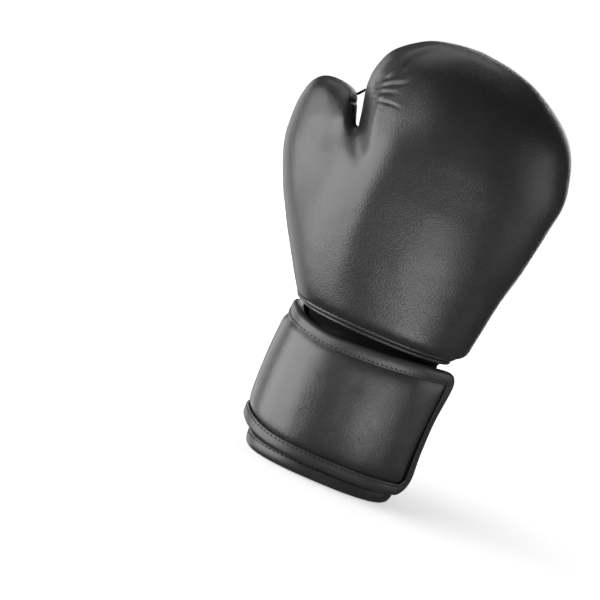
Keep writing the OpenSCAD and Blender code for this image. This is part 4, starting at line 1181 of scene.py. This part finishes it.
rings = []
z = (STRIP_LOW + STRIP_TOP)/2 - (STRIP_TOP - STRIP_LOW)/2*np.cos(np.linspace(0, np.pi, 50))
for s in -STRIP_HALF*np.cos(np.linspace(0, np.pi, 44)):
    edge = np.minimum(np.minimum(z - STRIP_LOW, STRIP_TOP - z), STRIP_HALF - abs(s))
    thick = STRIP_T*rounded_off(edge, STRIP_SOFT, least=0.2)
    rings.append(np.concatenate([strip_place(s, z, thick), strip_place(s, z[::-1], 0)]))
strip = closed_loft("strap_root_strip", rings)
strip.data.materials.append(trim_leather)
z = np.linspace(STRIP_LOW + 2, STRIP_TOP - 2, 60)
strip_stitching = sewn_rows("strip_stitching", [
    (strip_place(s, z, STRIP_T), cuff_out(np.full(60, strip_angle(s)))) for s in (-STRIP_ROW, STRIP_ROW)])
joint = cuff_place(JOINT_OFF, ROOT_A, JOINT_Z)
onward = JOINT_HALF*unit(cuff_place(JOINT_OFF, ROOT_A + 0.5, 0) - cuff_place(JOINT_OFF, ROOT_A - 0.5, 0))
for piece, slot in ((strip, "binding_tape"), (strip_stitching, "cord")):
    tuple((joint - onward)*MM)
    tuple((joint + onward)*MM)
    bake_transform(piece)

# Strap: padded leather on foam with a knitted back, wrapped from its root on the palm round the thumb
# side to the back of the hand. Leather and foam stand a little proud between the bindings.
STRAP_IN, CLOTH_TOP, LEATHER_IN, END_A = 3.3, 4.3, 4.35, 343.0
LOW_R, HIGH_R, ROOT_R, BIND_W, STRAP_TRIM = 14.0, 9.6, 9.6, 8.0, 1.5
fine_v = np.linspace(ROOT_A, END_A, 2000)
strap_run = along(oval(STRAP_OUT, fine_v))
STRAP_L = strap_run[-1]


def strap_angle(s):
    return np.interp(s, strap_run, fine_v)


def strap_place(s, z, off):
    """A place on the strap from its length, height and offset from the cuff."""
    return cuff_place(off, strap_angle(s), z)


def lower_edge(s):
    """The strap's lower edge lifts where it passes the base of the thumb."""
    return STRAP_LOW + 6.5*bell(strap_angle(s) - 184, 36) + 2.0*eased((150 - strap_angle(s))/50)


def upper_edge(s):
    """Its upper edge sags a little across the back of the hand."""
    return STRAP_TOP - 4.5*bell(strap_angle(s) - 250, 36)


def flared(s, z):
    """How far the free end has sprung away from the cuff, less the draw of the upper edge at the thumb."""
    sprung = 2.2*bell(z - 86, 17) + 1.3*bell(z - 22, 13)
    return sprung*eased((s - (STRAP_L - 20))/20) - 3.0*bell(strap_angle(s) - 188, 22)*eased((z - 81)/11)


def corner_drop(from_end, r):
    """How much height a rounded corner takes from the trimmed strap, at a distance from its end."""
    reach = np.clip((r - from_end)/(r - STRAP_TRIM), 0, 1)
    return (r - STRAP_TRIM)*(1 - np.sqrt(1 - reach**2))


def strap_slab(name, inner, outer, crown, rows):
    """One layer of the strap between two offsets from the cuff, its outside raised by crown."""
    start, end = STRAP_TRIM, STRAP_L - STRAP_TRIM
    lengths = np.concatenate([start + (1 - np.cos(np.linspace(0, np.pi/2, 14)[:-1]))*12.0,
                              np.linspace(start + 12, end - 16, 170)[1:-1],
                              end - (1 - np.cos(np.linspace(np.pi/2, 0, 18)))*16.0])
    rings = []
    for s in lengths:
        low = lower_edge(s) + STRAP_TRIM + corner_drop(s, ROOT_R) + corner_drop(STRAP_L - s, LOW_R)
        high = upper_edge(s) - STRAP_TRIM - corner_drop(s, ROOT_R) - corner_drop(STRAP_L - s, HIGH_R)
        z = low + (high - low)*(1 - np.cos(np.linspace(0, np.pi, rows)))/2
        inside = np.minimum(np.minimum(z - low, high - z) + STRAP_TRIM, min(s, STRAP_L - s))
        rings.append(np.concatenate([strap_place(s, z, outer + crown(inside, s, z) + flared(s, z)),
                                     strap_place(s, z[::-1], inner + flared(s, z[::-1]))]))
    return closed_loft(name, rings)


def swell(inside, s, z):
    """Leather dips beside the binding and rises to a soft crown."""
    beyond = np.clip(inside - BIND_W, 0, None)
    gape = 1.5*bell(s - (STRAP_L - 9.5), 2.2)*bell(z - 36, 20)
    return -gape - 1.2 + 2.3*(1 - np.exp(-beyond/2.6)) + 0.6*eased(beyond/28)


def bent(piece, material, slot, *nodes):
    """Gives a piece of the strap its finish, hides the solids it stands for and fixes its place."""
    piece.data.materials.clear()
    piece.data.materials.append(material)
    if nodes:
        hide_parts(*nodes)
    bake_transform(piece)


strap_finish = leather(
    "strap_leather", dark=0.015, light=0.026, rough=0.30, grain_mm=1.2, relief_mm=0.22, coat=0.2)
strap = strap_slab("strap_leather", LEATHER_IN, STRAP_OUT, swell, rows=44)
rumpled(strap, lambda places: 0.35*wander(places, 26.0, 2.0) + 0.12*wander(places, 9.0, 4.0))
bent(strap, strap_finish, "shell_leather", "strap_palm_panel", "strap_palm_pad", "strap_back_panel",
     "strap_back_pad")
strap_cloth = strap_slab("strap_lining_cloth", STRAP_IN, CLOTH_TOP, lambda inside, s, z: 0*inside, rows=20)
bent(strap_cloth, lining_cloth, "lining_fabric", "strap_palm_lining", "strap_back_lining")

# Strap binding: one strip of leather folded round the whole edge of the strap, with rounded corners at
# both ends, caught by a row of stitches along its inner edge.
BIND_ROW, BIND_ROW_OFF = 6.5, 9.0


def corner(s, z, r, first):
    """A quarter round of the outline about a centre, without its first point."""
    a = np.radians(np.linspace(first, first + 90, 20 if r == LOW_R else 16))[1:]
    return np.stack([s + r*np.cos(a), z + r*np.sin(a)], -1)


def upright(s, first, last):
    z = np.linspace(first, last, 34)[1:]
    return np.stack([np.full(33, s), z], -1)


end_low, end_high = lower_edge(STRAP_L) + LOW_R, upper_edge(STRAP_L) - HIGH_R
root_low, root_high = lower_edge(0.0) + ROOT_R, upper_edge(0.0) - ROOT_R
bottom = np.linspace(ROOT_R, STRAP_L - LOW_R, 230)
top = np.linspace(STRAP_L - HIGH_R, ROOT_R, 230)
outline = np.concatenate([
    np.stack([bottom, lower_edge(bottom)], -1), corner(STRAP_L - LOW_R, end_low, LOW_R, -90),
    upright(STRAP_L, end_low, end_high), corner(STRAP_L - HIGH_R, end_high, HIGH_R, 0),
    np.stack([top, upper_edge(top)], -1)[1:], corner(ROOT_R, root_high, ROOT_R, 90),
    upright(0.0, root_high, root_low), corner(ROOT_R, root_low, ROOT_R, 180)[:-1]])
ahead = unit(np.roll(outline, -1, axis=0) - np.roll(outline, 1, axis=0))
inward = np.stack([-ahead[:, 1], ahead[:, 0]], -1)
tape_section = [(7.95, 8.0), (8.05, 8.6), (7.7, 8.95), (7.1, 9.05), (6.5, 9.0), (5.9, 9.15), (4.6, 9.35),
                (3.0, 9.4), (1.5, 9.2), (0.4, 8.5), (-0.1, 7.2), (-0.15, 5.6), (0.05, 4.0), (0.7, 2.8),
                (2.0, 2.25), (5.0, 2.12), (7.4, 2.15), (7.95, 2.5), (7.95, 3.2), (1.4, 3.2), (1.4, 8.0)]
depth, off = np.array(tape_section).T
rings = []
for o, n in zip(outline, inward):
    s, z = o[0] + n[0]*depth, o[1] + n[1]*depth
    rings.append(strap_place(s, z, off + flared(s, z)))
binding = closed_loft("strap_binding_tape", rings, loop=True)
rumpled(binding, lambda places: 0.16*wander(places, 10.0, 9.0))
bent(binding, trim_leather, "binding_tape", "strap_palm_binding", "strap_back_binding")
s, z = np.concatenate([outline, outline[:1]]).T + BIND_ROW*np.concatenate([inward, inward[:1]]).T
strap_stitching = sewn_rows("strap_stitching", [(strap_place(s, z, BIND_ROW_OFF + flared(s, z)),
                                                 cuff_out(strap_angle(s)))])
bent(strap_stitching, thread_finish, "cord")

# Stage: a white studio floor with one large soft light at the left. Dim lights stand behind it, at the
# right, behind the palm and above, and a narrow card lies low in front. The camera is where the picture
# was taken from.
TILT, RAISE = np.radians(23), np.radians(8)
AIM, FAR, VIEW_W = Vector((-0.0521, 0, 0.0968)), 1.4, 0.379
LIT_CENTRE = Vector((-0.01, 0, 0.15))
right = Vector((np.cos(TILT), np.sin(TILT)*np.sin(RAISE), np.sin(TILT)*np.cos(RAISE)))
up = Vector((-np.sin(TILT), np.cos(TILT)*np.sin(RAISE), np.cos(TILT)*np.cos(RAISE)))
back = Vector((0, -np.cos(RAISE), np.sin(RAISE)))
bpy.ops.object.camera_add()
camera = bpy.context.object
stance = Matrix.Identity(4)
for column, axis in enumerate((right, up, back)):
    for row in range(3):
        stance[row][column] = axis[row]
stance.translation = AIM + back*FAR
camera.matrix_world = stance
camera.data.lens = camera.data.sensor_width*FAR/VIEW_W
camera.data.clip_end = 20
bpy.context.scene.camera = camera

bpy.ops.object.select_all(action="DESELECT")
bpy.ops.mesh.primitive_circle_add(vertices=96, radius=6.0, fill_type="NGON", location=(0, 0, -0.0005))
floor = bpy.context.object
floor.name = "studio_floor"
bpy.ops.object.transform_apply(location=True, rotation=True, scale=True)
white, shader, place = new_finish("studio_white", roughness=0.9, specular=0.1)
tinted(clouds(place, 3.0, 2.0), shader, grey(0.86, 0.0), grey(0.9, 0.0))
far_out = place.node("ShaderNodeVectorMath", {"operation": "LENGTH"}, out=1, Vector=place)
(0.5 + place.sum("MINIMUM", far_out*1.4, 1.0)*0.6).feed(shader, "Emission Color")
shader.inputs["Emission Strength"].default_value = 1.0
floor.visible_glossy = False
floor.data.materials.append(white)


def soft_light(name, place, facing, width, height, power):
    """An area light that the camera doesn't see."""
    bpy.ops.object.light_add(type="AREA", location=place, rotation=facing)
    light = bpy.context.object
    light.name = name
    light.data.shape = "RECTANGLE"
    light.data.size, light.data.size_y, light.data.energy = width, height, power
    light.visible_camera = False


# Each softbox stands by its turn from the camera's line, to the right, its height above it and how far off.
for name, turn, raised, far, width, height, power in [("left_softbox", -65, 13, 1.0, 1.5, 1.4, 37),
                                                      ("left_edge", -138, 10, 1.2, 1.0, 1.2, 5),
                                                      ("rim_strip", 165, 60, 1.2, 1.0, 0.4, 1.3),
                                                      ("palm_fill", 166, 6, 1.5, 0.7, 0.9, 5),
                                                      ("right_fill", 78, -10, 1.3, 1.0, 1.0, 4)]:
    turn, raised = np.radians(turn), np.radians(raised)
    away = (back*np.cos(turn) + right*np.sin(turn))*np.cos(raised) + up*np.sin(raised)
    facing = (-away).to_track_quat("-Z", "Y").to_euler()
    soft_light(name, LIT_CENTRE + away*far, facing, width, height, power)
soft_light("floor_card", (0.09, -0.36, 0.004), (np.pi, 0, 0), 0.13, 0.42, 1.1)

world = bpy.data.worlds.new("studio")
bpy.context.scene.world = world
world.use_nodes = True
seen = Shade(world.node_tree).node("ShaderNodeLightPath", out="Is Camera Ray")
world.node_tree.nodes["Background"].inputs["Color"].default_value = (1, 1, 1, 1)
(seen*0.96 + 0.06).feed(world.node_tree.nodes["Background"], "Strength")
bpy.context.scene.view_settings.view_transform = "Standard"
